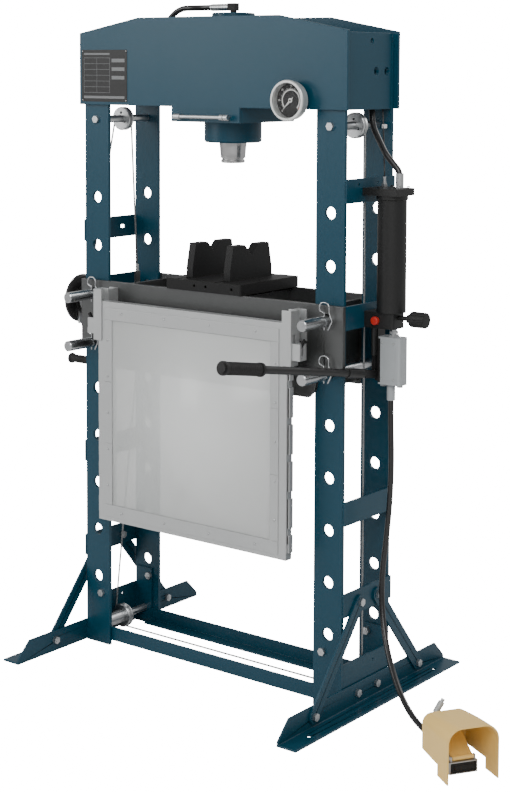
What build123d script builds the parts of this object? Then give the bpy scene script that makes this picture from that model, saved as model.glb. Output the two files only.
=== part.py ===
# Workshop hydraulic press: frame of flat bars, hand winch, sliding guard, foot pedal.
# Millimetres. +Z up, +X to the pump side, +Y to the rear.
# Origin: centre of the four floor anchor holes, at floor level.
from build123d import *
import math
import os

# Frame
total_height = 1810.0
frame_depth = 244.0
plate_thickness = 10.0
post_width = 90.0
post_spacing = 816.0
post_top_gap = 70.0
pin_hole_diameter = 33.0
pin_hole_pitch = 138.0
pin_hole_count = 9
lowest_pin_hole = 198.0

# Head
head_length = 930.0
head_plate_height = 244.0
head_chamfer_height = 41.0
head_flat_top = 487.0
head_end_recess = 2.0
head_end_holes = [(10.0, 67.0, 15.0), (31.0, 145.0, 22.0), (80.0, 145.0, 22.0)]
apron_width = 238.0
apron_drop = 41.0

# Side plates, feet and struts
side_plate_thickness = 6.0
brace_height = 62.0
right_brace_centres = [281.0, 523.0, 1033.0, total_height - 451.0]
left_brace_centres = [281.0, 560.0, 1033.0, 1204.0]
base_bracket_top = 122.0
base_bracket_floor_gap = 12.0
base_flange_width = 62.0
base_flange_top = 172.0
foot_length = 780.0
foot_height = 60.0
foot_flange = 60.0
foot_end_slope = 46.0
anchor_hole_diameter = 14.0
anchor_spacing_y = 592.0
strut_width = 38.0
strut_foot_y = 244.0
strut_foot_z = 33.0
strut_top_y = 41.0
strut_top_z = 278.0
rail_height = 40.0
rail_thickness = 5.0

# Fasteners
bolt_diameter = 12.0
bolt_head_width = 19.0
bolt_head_height = 8.0
bolt_clearance = 0.5
nut_height = 10.0
thread_past_nut = 2.0
small_hole_radius = 4.0
foot_bolt_y = 45.0
foot_bolt_z = 34.0
base_bolt_x = 393.0
base_bolt_z = 150.0

# Hydraulics
cylinder_diameter = 158.0
cylinder_bottom = total_height - 342.0
cylinder_cap_diameter = 118.0
cylinder_cap_height = 12.0
ram_diameter = 69.0
ram_flare_diameter = 75.0
ram_bottom = cylinder_bottom - 57.0
ram_travel = 150.0
slide_clearance = 0.08
hose_diameter = 16.0
gauge_line_diameter = 4.0
pump_centre_x = 524.0
pump_plate_thickness = 19.0
pump_body_low = 1003.0
pump_body_high = 1045.0
pump_body_x = 548.0
valve_z = 1032.0
valve_stem_radius = 6.0
valve_stem_end = 584.0
control_box_low = 857.0
control_box_high = 981.0
gland_bottom = 815.0
gland_x = 526.0
outlet_x = 540.0
gauge_port_x = 480.0
port_height = 14.0
hose_lane_y = 93.0
hose_lane_z = total_height - 170.0
lever_x = 482.0
lever_pivot_y = 9.0
lever_pivot_z = 876.0
lever_rise = 9.5
lever_bar_radius = 10.0
lever_pin_radius = 5.0
plunger_diameter = 13.0
plunger_y = -17.0

# Gauge
gauge_x = 303.0
gauge_z = total_height - 221.0
gauge_case_radius = 50.0
bezel_radius = 53.0
gauge_front_y = -163.0
gauge_back_y = -133.0
gauge_wall = 5.0
gauge_floor = 8.0
needle_post_radius = 2.0
needle_length = 36.0

# Lifting gear
pulley_radius = 34.0
pulley_groove_radius = 28.0
pulley_width = 20.0
pulley_bore = 13.0
axle_clearance = 0.1
upper_pulley_z = total_height - 286.0
lower_pulley_z = 50.0
lower_pulley_x = 412.0
cable_diameter = 5.0
winch_z = 985.0
drum_radius = 35.0
drum_inner_x = -486.0
drum_outer_x = -556.0
winch_disc_radius = 72.0
winch_disc_thickness = 17.0
winch_shaft_radius = 9.0
winch_hub_radius = 7.0
winch_back_thickness = 6.0
winch_cheek_half = 48.0
winch_foot_drop = 72.0
crank_radius = 215.0
crank_angle = 19.0
crank_arm_width = 22.0
crank_arm_thickness = 8.0
crank_hub_radius = 16.0
crank_pin_radius = 5.0
crank_pin_length = 92.0
lug_eye_rise = 12.0
web_bottom_gap = 12.0

# Table
table_half_length = 459.0
table_thickness = 12.0
table_skirt_half = 374.0
table_pin_hole = 6
table_top_margin = 39.0
table_bottom_margin = 70.0
table_top = lowest_pin_hole + pin_hole_pitch * table_pin_hole + table_top_margin
table_bottom = lowest_pin_hole + pin_hole_pitch * (table_pin_hole - 1) - table_bottom_margin
pin_diameter = 30.0
pin_front = 235.0
pin_rear = 150.0
clip_wire_diameter = 4.0
bed_size = 262.0
bed_thickness = 30.0
v_block_thickness = 24.0
v_block_height = 95.0
v_block_base = 186.0
v_block_top_width = 158.0
v_width = 56.0
v_block_places = [-90.0, 42.0]
v_slot_depth = 1.0
v_slot_clearance = 0.1

# Guard
guard_half_width = 330.0
guard_height = 622.0
guard_top = table_top - 46.0
guard_bottom = guard_top - guard_height
guard_front = -190.0
guard_depth = 25.0
guard_upright_width = 45.0
guard_bottom_rail = 40.0
guard_top_rail = 44.0
panel_thickness = 5.0
latch_z = table_top - 115.0
bracket_low = table_top - 157.0
bracket_high = table_top - 13.0
arm_low = table_top - 100.0
arm_high = table_top - 15.0
rack_thickness = 6.0
notch_pitch = 97.0
notch_top = guard_top - 62.0
notch_count = 6
guide_clearance = 0.4

# Pedal
pedal_mouth = (938.5, -265.0)
pedal_angle = -33.16
pedal_width = 135.0
pedal_length = 158.0
pedal_mouth_height = 134.0
pedal_back_height = 114.0
pedal_wall = 3.5
tread_hinge_x = -58.0
tread_hinge_z = 37.0
tread_pin_radius = 3.0
air_hose_diameter = 15.0
air_hose_port_y = -38.0
air_hose_port_z = 56.0

# Derived places
head_bottom = total_height - head_plate_height
plate_out_y = frame_depth / 2
post_out_y = plate_out_y - plate_thickness
post_in_y = post_out_y - plate_thickness
post_centre_x = post_spacing / 2
post_outer_x = post_centre_x + post_width / 2
post_top = total_height - post_top_gap
pump_top = right_brace_centres[-1] + 7
brace_out_x = post_outer_x + side_plate_thickness
strut_out_x = brace_out_x + side_plate_thickness
pin_hole_heights = [lowest_pin_hole + pin_hole_pitch * i for i in range(pin_hole_count)]
table_hole_z = lowest_pin_hole + pin_hole_pitch * (table_pin_hole - 1)
soft_gap = 0.3


def block(x_low, x_high, y_low, y_high, z_low, z_high):
    """Box between two corners."""
    centre = Pos((x_low + x_high) / 2, (y_low + y_high) / 2, (z_low + z_high) / 2)
    return centre * Box(abs(x_high - x_low), abs(y_high - y_low), abs(z_high - z_low))


def rod_x(radius, x_low, x_high, y, z):
    """Round bar along X."""
    return Pos((x_low + x_high) / 2, y, z) * Rot(0, 90, 0) * Cylinder(radius, abs(x_high - x_low))


def rod_y(radius, y_low, y_high, x, z):
    """Round bar along Y."""
    return Pos(x, (y_low + y_high) / 2, z) * Rot(90, 0, 0) * Cylinder(radius, abs(y_high - y_low))


def rod_z(radius, z_low, z_high, x, y):
    """Round bar along Z."""
    return Pos(x, y, (z_low + z_high) / 2) * Cylinder(radius, abs(z_high - z_low))


def hexagon_y(width, y_low, y_high, x, z):
    """Hexagonal bar along Y, width across flats."""
    face = Pos(x, y_low, z) * Rot(-90, 0, 0) * RegularPolygon(width / 2, 6, major_radius=False)
    return extrude(face, amount=y_high - y_low, dir=(0, 1, 0))


def hexagon_x(width, x_low, x_high, y, z):
    """Hexagonal bar along X, width across flats."""
    face = Pos(x_low, y, z) * Rot(0, 90, 0) * RegularPolygon(width / 2, 6, major_radius=False)
    return extrude(face, amount=x_high - x_low, dir=(1, 0, 0))


def hexagon_z(width, z_low, z_high, x, y):
    """Hexagonal bar along Z, width across flats."""
    face = Pos(x, y, z_low) * RegularPolygon(width / 2, 6, major_radius=False)
    return extrude(face, amount=z_high - z_low, dir=(0, 0, 1))


def plate_xz(outline, y_low, y_high):
    """Plate whose outline lies in XZ."""
    wire = Polyline([(x, y_low, z) for x, z in outline], close=True)
    return extrude(make_face(wire), amount=y_high - y_low, dir=(0, 1, 0))


def plate_yz(outline, x_low, x_high):
    """Plate whose outline lies in YZ."""
    wire = Polyline([(x_low, y, z) for y, z in outline], close=True)
    return extrude(make_face(wire), amount=x_high - x_low, dir=(1, 0, 0))


def turned_z(profile, x, y):
    """Solid of revolution about a vertical axis, from (radius, height) points."""
    wire = Polyline([(r, 0, z) for r, z in profile], close=True)
    return Pos(x, y, 0) * revolve(make_face(wire), axis=Axis.Z)


def turned_y(profile, x, z):
    """Solid of revolution about an axis along Y, from (radius, y) points."""
    wire = Polyline([(r, y, 0) for r, y in profile], close=True)
    return Pos(x, 0, z) * revolve(make_face(wire), axis=Axis.Y)


def turned_x(profile, y, z):
    """Solid of revolution about an axis along X, from (radius, x) points."""
    wire = Polyline([(x, r, 0) for r, x in profile], close=True)
    return Pos(0, y, z) * revolve(make_face(wire), axis=Axis.X)


def tube_along(points, radii, diameter):
    """Round line of straight runs joined by tangent arcs."""
    path = FilletPolyline(points, radius=radii)
    start = path @ 0
    direction = path % 0
    section = Plane(origin=start, z_dir=direction) * Circle(diameter / 2)
    return sweep(section, path=path)


def tangent_radii(points, share=0.45):
    """Arc radius at each inner point, as large as its two runs allow."""
    radii = []
    for before, at, after in zip(points, points[1:], points[2:]):
        first = Vector(*at) - Vector(*before)
        second = Vector(*after) - Vector(*at)
        half_turn = math.radians(first.get_angle(second)) / 2
        shorter = min(first.length, second.length)
        radii.append(share * shorter / math.tan(half_turn))
    return radii


def mirrored(shape):
    """The same piece on the other side of the press."""
    return mirror(shape, about=Plane.YZ)


def head_plate(y_low, y_high, holes):
    """Front or rear plate of the head, with the apron tab at its lower edge."""
    half = head_length / 2
    flat = head_flat_top / 2
    tab = apron_width / 2
    shoulder = total_height - head_chamfer_height
    outline = [(-half, head_bottom), (-tab, head_bottom), (-tab, head_bottom - apron_drop)]
    outline += [(tab, head_bottom - apron_drop), (tab, head_bottom), (half, head_bottom)]
    outline += [(half, shoulder), (flat, total_height), (-flat, total_height), (-half, shoulder)]
    plate = plate_xz(outline, y_low, y_high)
    for x, z, diameter in holes:
        plate -= rod_y(diameter / 2, y_low - 1, y_high + 1, x, z)
    return plate


def head_end_plates():
    """Closing plates between the posts at both ends of the head."""
    outer = post_outer_x - head_end_recess
    end = block(outer - plate_thickness, outer, -post_in_y, post_in_y, head_bottom, post_top + 25)
    for y, below_top, diameter in head_end_holes:
        end -= rod_x(diameter / 2, outer - plate_thickness - 1, outer + 1, y, total_height - below_top)
    return Compound(children=[end, mirrored(end)])


def cylinder_seat():
    """Thick block in the apron that carries the cylinder."""
    half = apron_width / 2
    seat = block(-half, half, -post_out_y, post_out_y, head_bottom - apron_drop, head_bottom + 20)
    return seat - rod_z(cylinder_diameter / 2, 0, total_height, 0, 0)


def cylinder_body():
    """Cylinder barrel with its top cap, bored for the ram."""
    radius = cylinder_diameter / 2
    bore = ram_diameter / 2 + slide_clearance
    head_inside = total_height - 12
    cap_top = total_height + cylinder_cap_height
    ram_room = ram_bottom + ram_travel + 195
    profile = [(bore, cylinder_bottom), (radius - 4, cylinder_bottom), (radius, cylinder_bottom + 4)]
    profile += [(radius, head_inside), (cylinder_cap_diameter / 2, head_inside)]
    profile += [(cylinder_cap_diameter / 2, cap_top - 3), (cylinder_cap_diameter / 2 - 3, cap_top)]
    profile += [(0, cap_top), (0, ram_room), (bore, ram_room)]
    return turned_z(profile, 0, 0)


def ram():
    """Piston rod with a flared collar below the gland and a groove near its nose."""
    radius = ram_diameter / 2
    flare = ram_flare_diameter / 2
    collar_top = cylinder_bottom - soft_gap
    profile = [(0, ram_bottom), (radius - 5, ram_bottom), (radius - 1.5, ram_bottom + 2)]
    profile += [(radius - 1.5, ram_bottom + 8), (radius - 4, ram_bottom + 9)]
    profile += [(radius - 4, ram_bottom + 13), (radius, ram_bottom + 14), (radius, ram_bottom + 20)]
    profile += [(flare, collar_top - 6), (flare, collar_top), (radius, collar_top)]
    profile += [(radius, ram_bottom + ram_travel + 185), (0, ram_bottom + ram_travel + 185)]
    return turned_z(profile, 0, 0)


def hose_elbow():
    """Elbow block on the cylinder cap and the silver ferrule of its hose."""
    cap_top = total_height + cylinder_cap_height
    line_z = cap_top + 16
    stem = rod_z(9, cap_top, line_z, 0, 0)
    body = block(-14, 12, -10, 10, line_z - 10, line_z + 11)
    elbow = stem + body
    ferrule = rod_x(hose_diameter / 2 + 1.5, -76, -14, 0, line_z)
    return elbow, ferrule, line_z


def post(x, front):
    """Flat bar post with its row of pin holes."""
    side = -1 if front else 1
    y_low = min(side * post_in_y, side * post_out_y)
    y_high = y_low + plate_thickness
    bar = block(x - post_width / 2, x + post_width / 2, y_low, y_high, 0, post_top)
    for height in pin_hole_heights:
        bar -= rod_y(pin_hole_diameter / 2, y_low - 1, y_high + 1, x, height)
    axle_hole = pulley_bore / 2 + bolt_clearance
    bar -= rod_y(axle_hole, y_low - 1, y_high + 1, x, upper_pulley_z)
    bolt_x = math.copysign(base_bolt_x, x)
    bar -= rod_y(bolt_diameter / 2 + bolt_clearance, y_low - 1, y_high + 1, bolt_x, base_bolt_z)
    return bar


def side_brace(centre):
    """Flat plate across the outer edges of the two posts on the right side."""
    half = brace_height / 2
    plate = block(post_outer_x, brace_out_x, -post_out_y, post_out_y, centre - half, centre + half)
    return fillet(plate.edges().filter_by(Axis.X), 4)


def base_bracket():
    """Folded plate at the foot of the right posts: web with two flanges behind the posts."""
    web_low = post_outer_x - side_plate_thickness
    flange_low = web_low - base_flange_width
    floor_gap = base_bracket_floor_gap
    web = block(web_low, post_outer_x, -post_in_y, post_in_y, floor_gap, base_bracket_top)
    bracket = web
    for side in (-1, 1):
        y_outer = side * post_in_y
        y_inner = side * (post_in_y - side_plate_thickness)
        flange = block(flange_low, web_low, y_inner, y_outer, floor_gap, base_flange_top)
        hole = rod_y(bolt_diameter / 2 + bolt_clearance, y_inner - 9, y_outer + 9, base_bolt_x, base_bolt_z)
        bracket += flange - hole
    bracket -= rod_x(small_hole_radius, web_low - 1, post_outer_x + 1, 37, 100)
    for y in (-foot_bolt_y, foot_bolt_y):
        bracket -= rod_x(bolt_diameter / 2 + bolt_clearance, web_low - 1, post_outer_x + 1, y, foot_bolt_z)
    return bracket


def side_plates():
    """Braces and base brackets of both sides."""
    plates = []
    for index, centre in enumerate(right_brace_centres):
        brace = side_brace(centre)
        if index == 0:
            for y in (-strut_top_y, strut_top_y):
                brace -= rod_x(bolt_diameter / 2 + bolt_clearance, 0, brace_out_x + 9, y, strut_top_z)
        if index == len(right_brace_centres) - 1:
            for y in (-56, 31):
                brace -= rod_x(small_hole_radius, 0, brace_out_x + 9, y, centre + 16)
        plates.append(brace)
    for index, centre in enumerate(left_brace_centres):
        brace = side_brace(centre)
        if index == 0:
            for y in (-strut_top_y, strut_top_y):
                brace -= rod_x(bolt_diameter / 2 + bolt_clearance, 0, brace_out_x + 9, y, strut_top_z)
        if index == len(left_brace_centres) - 1:
            slot = block(0, brace_out_x + 9, 38, 58, centre - 5, centre + 5)
            brace -= slot
        plates.append(mirrored(brace))
    bracket = base_bracket()
    plates += [bracket, mirrored(bracket)]
    return Compound(children=plates)


def foot():
    """Angle iron foot of the right side, leg against the posts and flange on the floor."""
    half = foot_length / 2
    thickness = side_plate_thickness
    leg_outline = [(-half, 0), (half, 0), (half, 14), (half - foot_end_slope, foot_height)]
    leg_outline += [(-half + foot_end_slope, foot_height), (-half, 14)]
    leg = plate_yz(leg_outline, post_outer_x, post_outer_x + thickness)
    flange = block(post_outer_x, post_outer_x + foot_flange, -half, half, 0, thickness)
    angle = leg + flange
    holes = [(y, foot_bolt_z) for y in (-foot_bolt_y, foot_bolt_y)]
    holes += [(y, strut_foot_z) for y in (-strut_foot_y, strut_foot_y)]
    for y, z in holes:
        angle -= rod_x(bolt_diameter / 2 + bolt_clearance, post_outer_x - 1, post_outer_x + 9, y, z)
    for y in (-anchor_spacing_y / 2, anchor_spacing_y / 2):
        angle -= rod_z(anchor_hole_diameter / 2, -1, thickness + 1, anchor_x(), y)
    return angle


def anchor_x():
    """Distance of the anchor holes from the middle of the press."""
    return post_outer_x + foot_flange / 2 + 1


def strut(side):
    """Flat bar with round ends from the foot up to the lowest brace."""
    low = Vector(brace_out_x, side * strut_foot_y, strut_foot_z)
    high = Vector(brace_out_x, side * strut_top_y, strut_top_z)
    along = (high - low).normalized()
    across = Vector(0, -along.Z, along.Y) * (strut_width / 2)
    corners = [low + across, high + across, high - across, low - across]
    bar = extrude(make_face(Polyline(corners, close=True)), amount=side_plate_thickness, dir=(1, 0, 0))
    for end in (low, high):
        bar += rod_x(strut_width / 2, brace_out_x, strut_out_x, end.Y, end.Z)
    for end in (low, high):
        bar -= rod_x(bolt_diameter / 2 + bolt_clearance, brace_out_x - 1, strut_out_x + 1, end.Y, end.Z)
    return bar


def bottom_rails():
    """Two angle rails near the floor, from side to side behind the posts."""
    reach = post_outer_x - side_plate_thickness - base_flange_width
    low = base_bracket_floor_gap
    rails = []
    for side in (-1, 1):
        leg_outer = side * post_in_y
        leg_inner = side * (post_in_y - rail_thickness)
        shelf_inner = side * (post_in_y - rail_height)
        leg = block(-reach, reach, leg_inner, leg_outer, low, low + rail_height)
        shelf = block(-reach, reach, shelf_inner, leg_outer, low, low + rail_thickness)
        rails.append(leg + shelf)
    return Compound(children=rails)


def bolt_x(x_head_side, grip_low, y, z):
    """Hexagon bolt along X with its head outside at x_head_side and a nut inside."""
    shank = rod_x(bolt_diameter / 2, grip_low - nut_height - thread_past_nut, x_head_side, y, z)
    head = hexagon_x(bolt_head_width, x_head_side, x_head_side + bolt_head_height, y, z)
    nut = hexagon_x(bolt_head_width, grip_low - nut_height, grip_low, y, z)
    return shank + head + nut


def bolt_y(y_head_side, grip_far, x, z, side):
    """Hexagon bolt along Y, head on the outer face of a post."""
    head_end = y_head_side + side * bolt_head_height
    nut_end = grip_far - side * nut_height
    shank_end = nut_end - side * thread_past_nut
    shank = rod_y(bolt_diameter / 2, min(y_head_side, shank_end), max(y_head_side, shank_end), x, z)
    head = hexagon_y(bolt_head_width, min(y_head_side, head_end), max(y_head_side, head_end), x, z)
    nut = hexagon_y(bolt_head_width, min(grip_far, nut_end), max(grip_far, nut_end), x, z)
    return shank + head + nut


def frame_bolts():
    """Foot, strut and base bolts, and the two long axle bolts of the upper pulleys."""
    bolts = []
    inside = post_outer_x - side_plate_thickness
    for y in (-foot_bolt_y, foot_bolt_y):
        bolts.append(bolt_x(brace_out_x, inside, y, foot_bolt_z))
    for y in (-strut_foot_y, strut_foot_y):
        bolts.append(bolt_x(strut_out_x, post_outer_x, y, strut_foot_z))
    for y in (-strut_top_y, strut_top_y):
        bolts.append(bolt_x(strut_out_x, post_outer_x, y, strut_top_z))
    for side in (-1, 1):
        face = side * post_out_y
        behind = side * (post_in_y - side_plate_thickness)
        bolts.append(bolt_y(face, behind, base_bolt_x, base_bolt_z, side))
    axle = rod_y(pulley_bore / 2, -post_out_y, post_out_y, post_centre_x, upper_pulley_z)
    ends = post_out_y + bolt_head_height
    axle += hexagon_y(bolt_head_width, -ends, -post_out_y, post_centre_x, upper_pulley_z)
    axle += hexagon_y(bolt_head_width, post_out_y, ends, post_centre_x, upper_pulley_z)
    collar = pulley_bore / 2 + 4
    for side in (-1, 1):
        inner = side * (pulley_width / 2 + soft_gap)
        outer = side * post_in_y
        axle += rod_y(collar, min(inner, outer), max(inner, outer), post_centre_x, upper_pulley_z)
    bolts.append(axle)
    sleeve_inner = pulley_width / 2 + soft_gap
    flange_inner = post_in_y - side_plate_thickness
    low_axle = rod_y(pulley_bore / 2, -flange_inner, flange_inner, lower_pulley_x, lower_pulley_z)
    low_axle += rod_y(19, -flange_inner, -sleeve_inner, lower_pulley_x, lower_pulley_z)
    low_axle += rod_y(pulley_bore / 2 + 4, sleeve_inner, flange_inner, lower_pulley_x, lower_pulley_z)
    bolts.append(low_axle)
    return Compound(children=bolts + [mirrored(bolt) for bolt in bolts])


def pulley(x, z):
    """Grooved pulley on an axle along Y."""
    half = pulley_width / 2
    bore = pulley_bore / 2 + axle_clearance / 2
    profile = [(bore, -half), (pulley_radius - 2, -half), (pulley_radius, -half + 2)]
    profile += [(pulley_radius, -half + 4), (pulley_groove_radius - 1, -2), (pulley_groove_radius - 1, 2)]
    profile += [(pulley_radius, half - 4), (pulley_radius, half - 2), (pulley_radius - 2, half), (bore, half)]
    wheel = turned_y(profile, x, z)
    for i in range(3):
        angle = math.radians(120 * i + 90)
        hole_x = x + 17 * math.cos(angle)
        hole_z = z + 17 * math.sin(angle)
        wheel -= rod_y(3.5, -half - 1, half + 1, hole_x, hole_z)
    return wheel


def wrapped_cable(pieces):
    """Steel cable of straight runs and arcs that all meet end to end."""
    edges = []
    for piece in pieces:
        if len(piece) == 2:
            edges.append(Edge.make_line(*piece))
        else:
            edges.append(Edge.make_three_point_arc(*piece))
    path = Wire(edges)
    section = Plane(origin=path @ 0, z_dir=path % 0) * Circle(cable_diameter / 2)
    return sweep(section, path=path)


def leaning_tangent(x, z, target_x, target_z, side):
    """Angle on a groove, in degrees, where a run to the target leaves it; side +1 or -1 picks it."""
    reach = pulley_groove_radius + cable_diameter / 2
    bearing = math.atan2(target_z - z, target_x - x)
    distance = math.hypot(target_x - x, target_z - z)
    return math.degrees(bearing + side * math.acos(reach / distance))


def groove_point(x, z, angle):
    """Cable centre on a groove at an angle in degrees."""
    reach = pulley_groove_radius + cable_diameter / 2
    radians = math.radians(angle)
    return (x + reach * math.cos(radians), 0, z + reach * math.sin(radians))


def lift_cables():
    """Winch cable on the left, and the levelling cable that runs round the other three pulleys."""
    lug_x = table_lug_x()
    lug_z = table_top + lug_eye_rise
    drum_x = (drum_inner_x + drum_outer_x) / 2
    drum_side = drum_radius + cable_diameter / 2 + soft_gap
    left = -post_centre_x
    down = leaning_tangent(left, upper_pulley_z, drum_x, winch_z, -1)
    up = leaning_tangent(left, upper_pulley_z, -lug_x, lug_z, 1)
    down_point = groove_point(left, upper_pulley_z, down + 360)
    up_point = groove_point(left, upper_pulley_z, up)
    top_point = groove_point(left, upper_pulley_z, 90)
    winch_end = (drum_x, -drum_side, winch_z)
    winch_runs = [(winch_end, down_point), (down_point, top_point, up_point)]
    winch_runs.append((up_point, (-lug_x, 0, lug_z)))
    winch_cable = wrapped_cable(winch_runs)
    right = post_centre_x
    low = lower_pulley_x
    start = (-lug_x, 0, table_bottom + web_bottom_gap + 1)
    leave = leaning_tangent(-low, lower_pulley_z, start[0], start[2], 1)
    first = groove_point(-low, lower_pulley_z, leave)
    corner = groove_point(-low, lower_pulley_z, 225)
    base_left = groove_point(-low, lower_pulley_z, 270)
    base_right = groove_point(low, lower_pulley_z, 270)
    far_corner = groove_point(low, lower_pulley_z, 315)
    far_side = groove_point(low, lower_pulley_z, 0)
    top_side = groove_point(right, upper_pulley_z, 0)
    rise = leaning_tangent(right, upper_pulley_z, lug_x, lug_z, -1)
    over = groove_point(right, upper_pulley_z, 90)
    last = groove_point(right, upper_pulley_z, rise + 360)
    runs = [(start, first), (first, corner, base_left), (base_left, base_right)]
    runs += [(base_right, far_corner, far_side), (far_side, top_side), (top_side, over, last)]
    runs += [(last, (lug_x, 0, lug_z))]
    return Compound(children=[winch_cable, wrapped_cable(runs)])


def winch_frame():
    """Folded winch frame bolted to the left braces, with two cheeks that carry the drum."""
    back_face = -brace_out_x - winch_back_thickness
    foot_low = winch_z - winch_foot_drop
    back = block(back_face, -brace_out_x, -70, 70, winch_z - 40, winch_z + 75)
    for y in (-45, 45):
        back += rod_x(9, back_face - 6, back_face, y, right_brace_centres[2])
    cheek_low = winch_z - winch_cheek_half
    cheek = block(drum_inner_x + 1, back_face, -55, 55, cheek_low, winch_z + winch_cheek_half)
    foot_bar = block(drum_outer_x - 8, drum_inner_x, -10, 10, foot_low, foot_low + 10)
    outer = block(drum_outer_x - 8, drum_outer_x - 1, -30, 30, foot_low, winch_z + 30)
    hanger = block(drum_inner_x, back_face, -10, 10, foot_low, cheek_low)
    body = back + cheek + foot_bar + outer + hanger
    return body - rod_x(winch_shaft_radius + axle_clearance / 2, -700, back_face - 6, 0, winch_z)


def disc_outer_face():
    """Outer face of the winch disc along X."""
    return drum_outer_x - 9 - winch_disc_thickness


def winch_drum():
    """Cable drum with end flanges, its shaft, and the large outer disc."""
    flange = drum_radius + 12
    shaft = winch_shaft_radius
    hub = winch_hub_radius
    disc_low = disc_outer_face()
    shaft_end = -brace_out_x - winch_back_thickness - 7
    profile = [(0, shaft_end), (shaft, shaft_end), (shaft, drum_inner_x), (flange, drum_inner_x)]
    profile += [(flange, drum_inner_x - 4), (drum_radius, drum_inner_x - 4), (drum_radius, drum_outer_x + 4)]
    profile += [(flange, drum_outer_x + 4), (flange, drum_outer_x), (shaft, drum_outer_x)]
    profile += [(shaft, drum_outer_x - 9), (winch_disc_radius - 6, drum_outer_x - 9)]
    profile += [(winch_disc_radius, drum_outer_x - 13), (winch_disc_radius, disc_low + 5)]
    profile += [(winch_disc_radius - 5, disc_low), (14, disc_low), (14, disc_low - 6), (hub, disc_low - 6)]
    profile += [(hub, disc_low - 28), (0, disc_low - 28)]
    return turned_x(profile, 0, winch_z)


def crank_place():
    """Centre of the crank grip in Y and Z."""
    angle = math.radians(crank_angle)
    return crank_radius * math.sin(angle), winch_z - crank_radius * math.cos(angle)


def winch_crank():
    """Flat crank arm with round ends and the steel pin of its grip."""
    y, z = crank_place()
    inner = disc_outer_face() - 6
    outer = inner - crank_arm_thickness
    low = Vector(inner, 0, winch_z)
    high = Vector(inner, y, z)
    along = (high - low).normalized()
    across = Vector(0, -along.Z, along.Y) * (crank_arm_width / 2)
    corners = Polyline([low + across, high + across, high - across, low - across], close=True)
    arm = extrude(make_face(corners), amount=crank_arm_thickness, dir=(-1, 0, 0))
    arm += rod_x(crank_hub_radius, outer, inner, 0, winch_z)
    arm += rod_x(crank_arm_width / 2, outer, inner, y, z)
    arm -= rod_x(winch_hub_radius + slide_clearance, outer - 1, inner + 1, 0, winch_z)
    arm += rod_x(crank_pin_radius, outer - crank_pin_length, inner, y, z)
    return arm


def winch_grip():
    """Rubber grip on the crank pin, with a flange at both ends."""
    y, z = crank_place()
    bore = crank_pin_radius + slide_clearance
    flange = 16
    root = disc_outer_face() - 6 - crank_arm_thickness - 0.5
    profile = [(bore, root), (flange, root), (flange, root - 5), (12.5, root - 9), (11.5, root - 45)]
    profile += [(12.5, root - 82), (flange, root - 86), (flange, root - crank_pin_length)]
    profile += [(13, root - crank_pin_length - 3), (0, root - crank_pin_length - 3)]
    profile += [(0, root - crank_pin_length), (bore, root - crank_pin_length)]
    return turned_x(profile, y, z)


def table_lug_x():
    """Distance of the cable lugs from the middle."""
    return table_skirt_half - 20


def table_plate(y_low, y_high):
    """Front or rear plate of the table: pin holes above, saddles for the lower pins, deeper middle."""
    rest_z = resting_pin_z(table_hole_z)
    half = table_half_length
    skirt = table_skirt_half
    corner = 20
    right_edge = [(skirt - 4 - corner, table_bottom), (skirt - 4, table_bottom + corner)]
    right_edge += [(skirt + 8, rest_z), (half, rest_z), (half, table_top)]
    outline = right_edge + [(-x, z) for x, z in reversed(right_edge)]
    plate = plate_xz(outline, y_low, y_high)
    for x in (-post_centre_x, post_centre_x):
        plate -= rod_y(pin_hole_diameter / 2, y_low - 1, y_high + 1, x, table_hole_z + pin_hole_pitch)
        plate -= rod_y(pin_diameter / 2 + soft_gap, y_low - 1, y_high + 1, x, rest_z)
    return plate


def table_webs():
    """Cross webs between the table plates, each with a lug for its lift cable."""
    webs = []
    half = post_out_y
    for side in (-1, 1):
        lug_x = side * table_lug_x()
        inner = lug_x - side * 14
        outer = lug_x - side * 4
        x_low = min(inner, outer)
        web_low = table_bottom + web_bottom_gap
        web = block(x_low, x_low + 10, -half, half, web_low, table_top - 14)
        lug_far = lug_x + side * 5
        lug = block(min(outer, lug_far), max(outer, lug_far), -8, 8, table_top - 30, table_top + 18)
        if side < 0:
            lug += block(lug_x - 5, outer, -8, 8, web_low, web_low + 30)
        webs.append(web + lug - rod_z(cable_diameter / 2 + 1, table_bottom, table_top + 30, lug_x, 0))
    for x in (-110, 110):
        webs.append(block(x - 6, x + 6, -half, half, table_bottom + 24, table_top - 6))
    return Compound(children=webs)


def resting_pin_z(hole_z):
    """Axis of a pin that lies on the bottom of its holes."""
    return hole_z - (pin_hole_diameter - pin_diameter) / 2 + soft_gap


def locking_pin(x, z):
    """Table pin with chamfered ends and its hairpin clip."""
    radius = pin_diameter / 2
    profile = [(0, -pin_front), (radius - 2, -pin_front), (radius, -pin_front + 2), (radius, pin_rear - 2)]
    profile += [(radius - 2, pin_rear), (0, pin_rear)]
    clip_y = -plate_out_y - table_thickness + plate_thickness - 11
    pin = turned_y(profile, x, z) - rod_z(2.2, z - 20, z + 20, x, clip_y)
    heights = [(0, -22), (0, 22), (-15, 27), (-15, 49), (15, 49), (15, 24), (24, 2), (12, -21)]
    points = [(x + across, clip_y, z + up) for across, up in heights]
    clip = tube_along(points, [3, 5, 13, 13, 6, 6], clip_wire_diameter)
    return Compound(children=[pin, clip])


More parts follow.
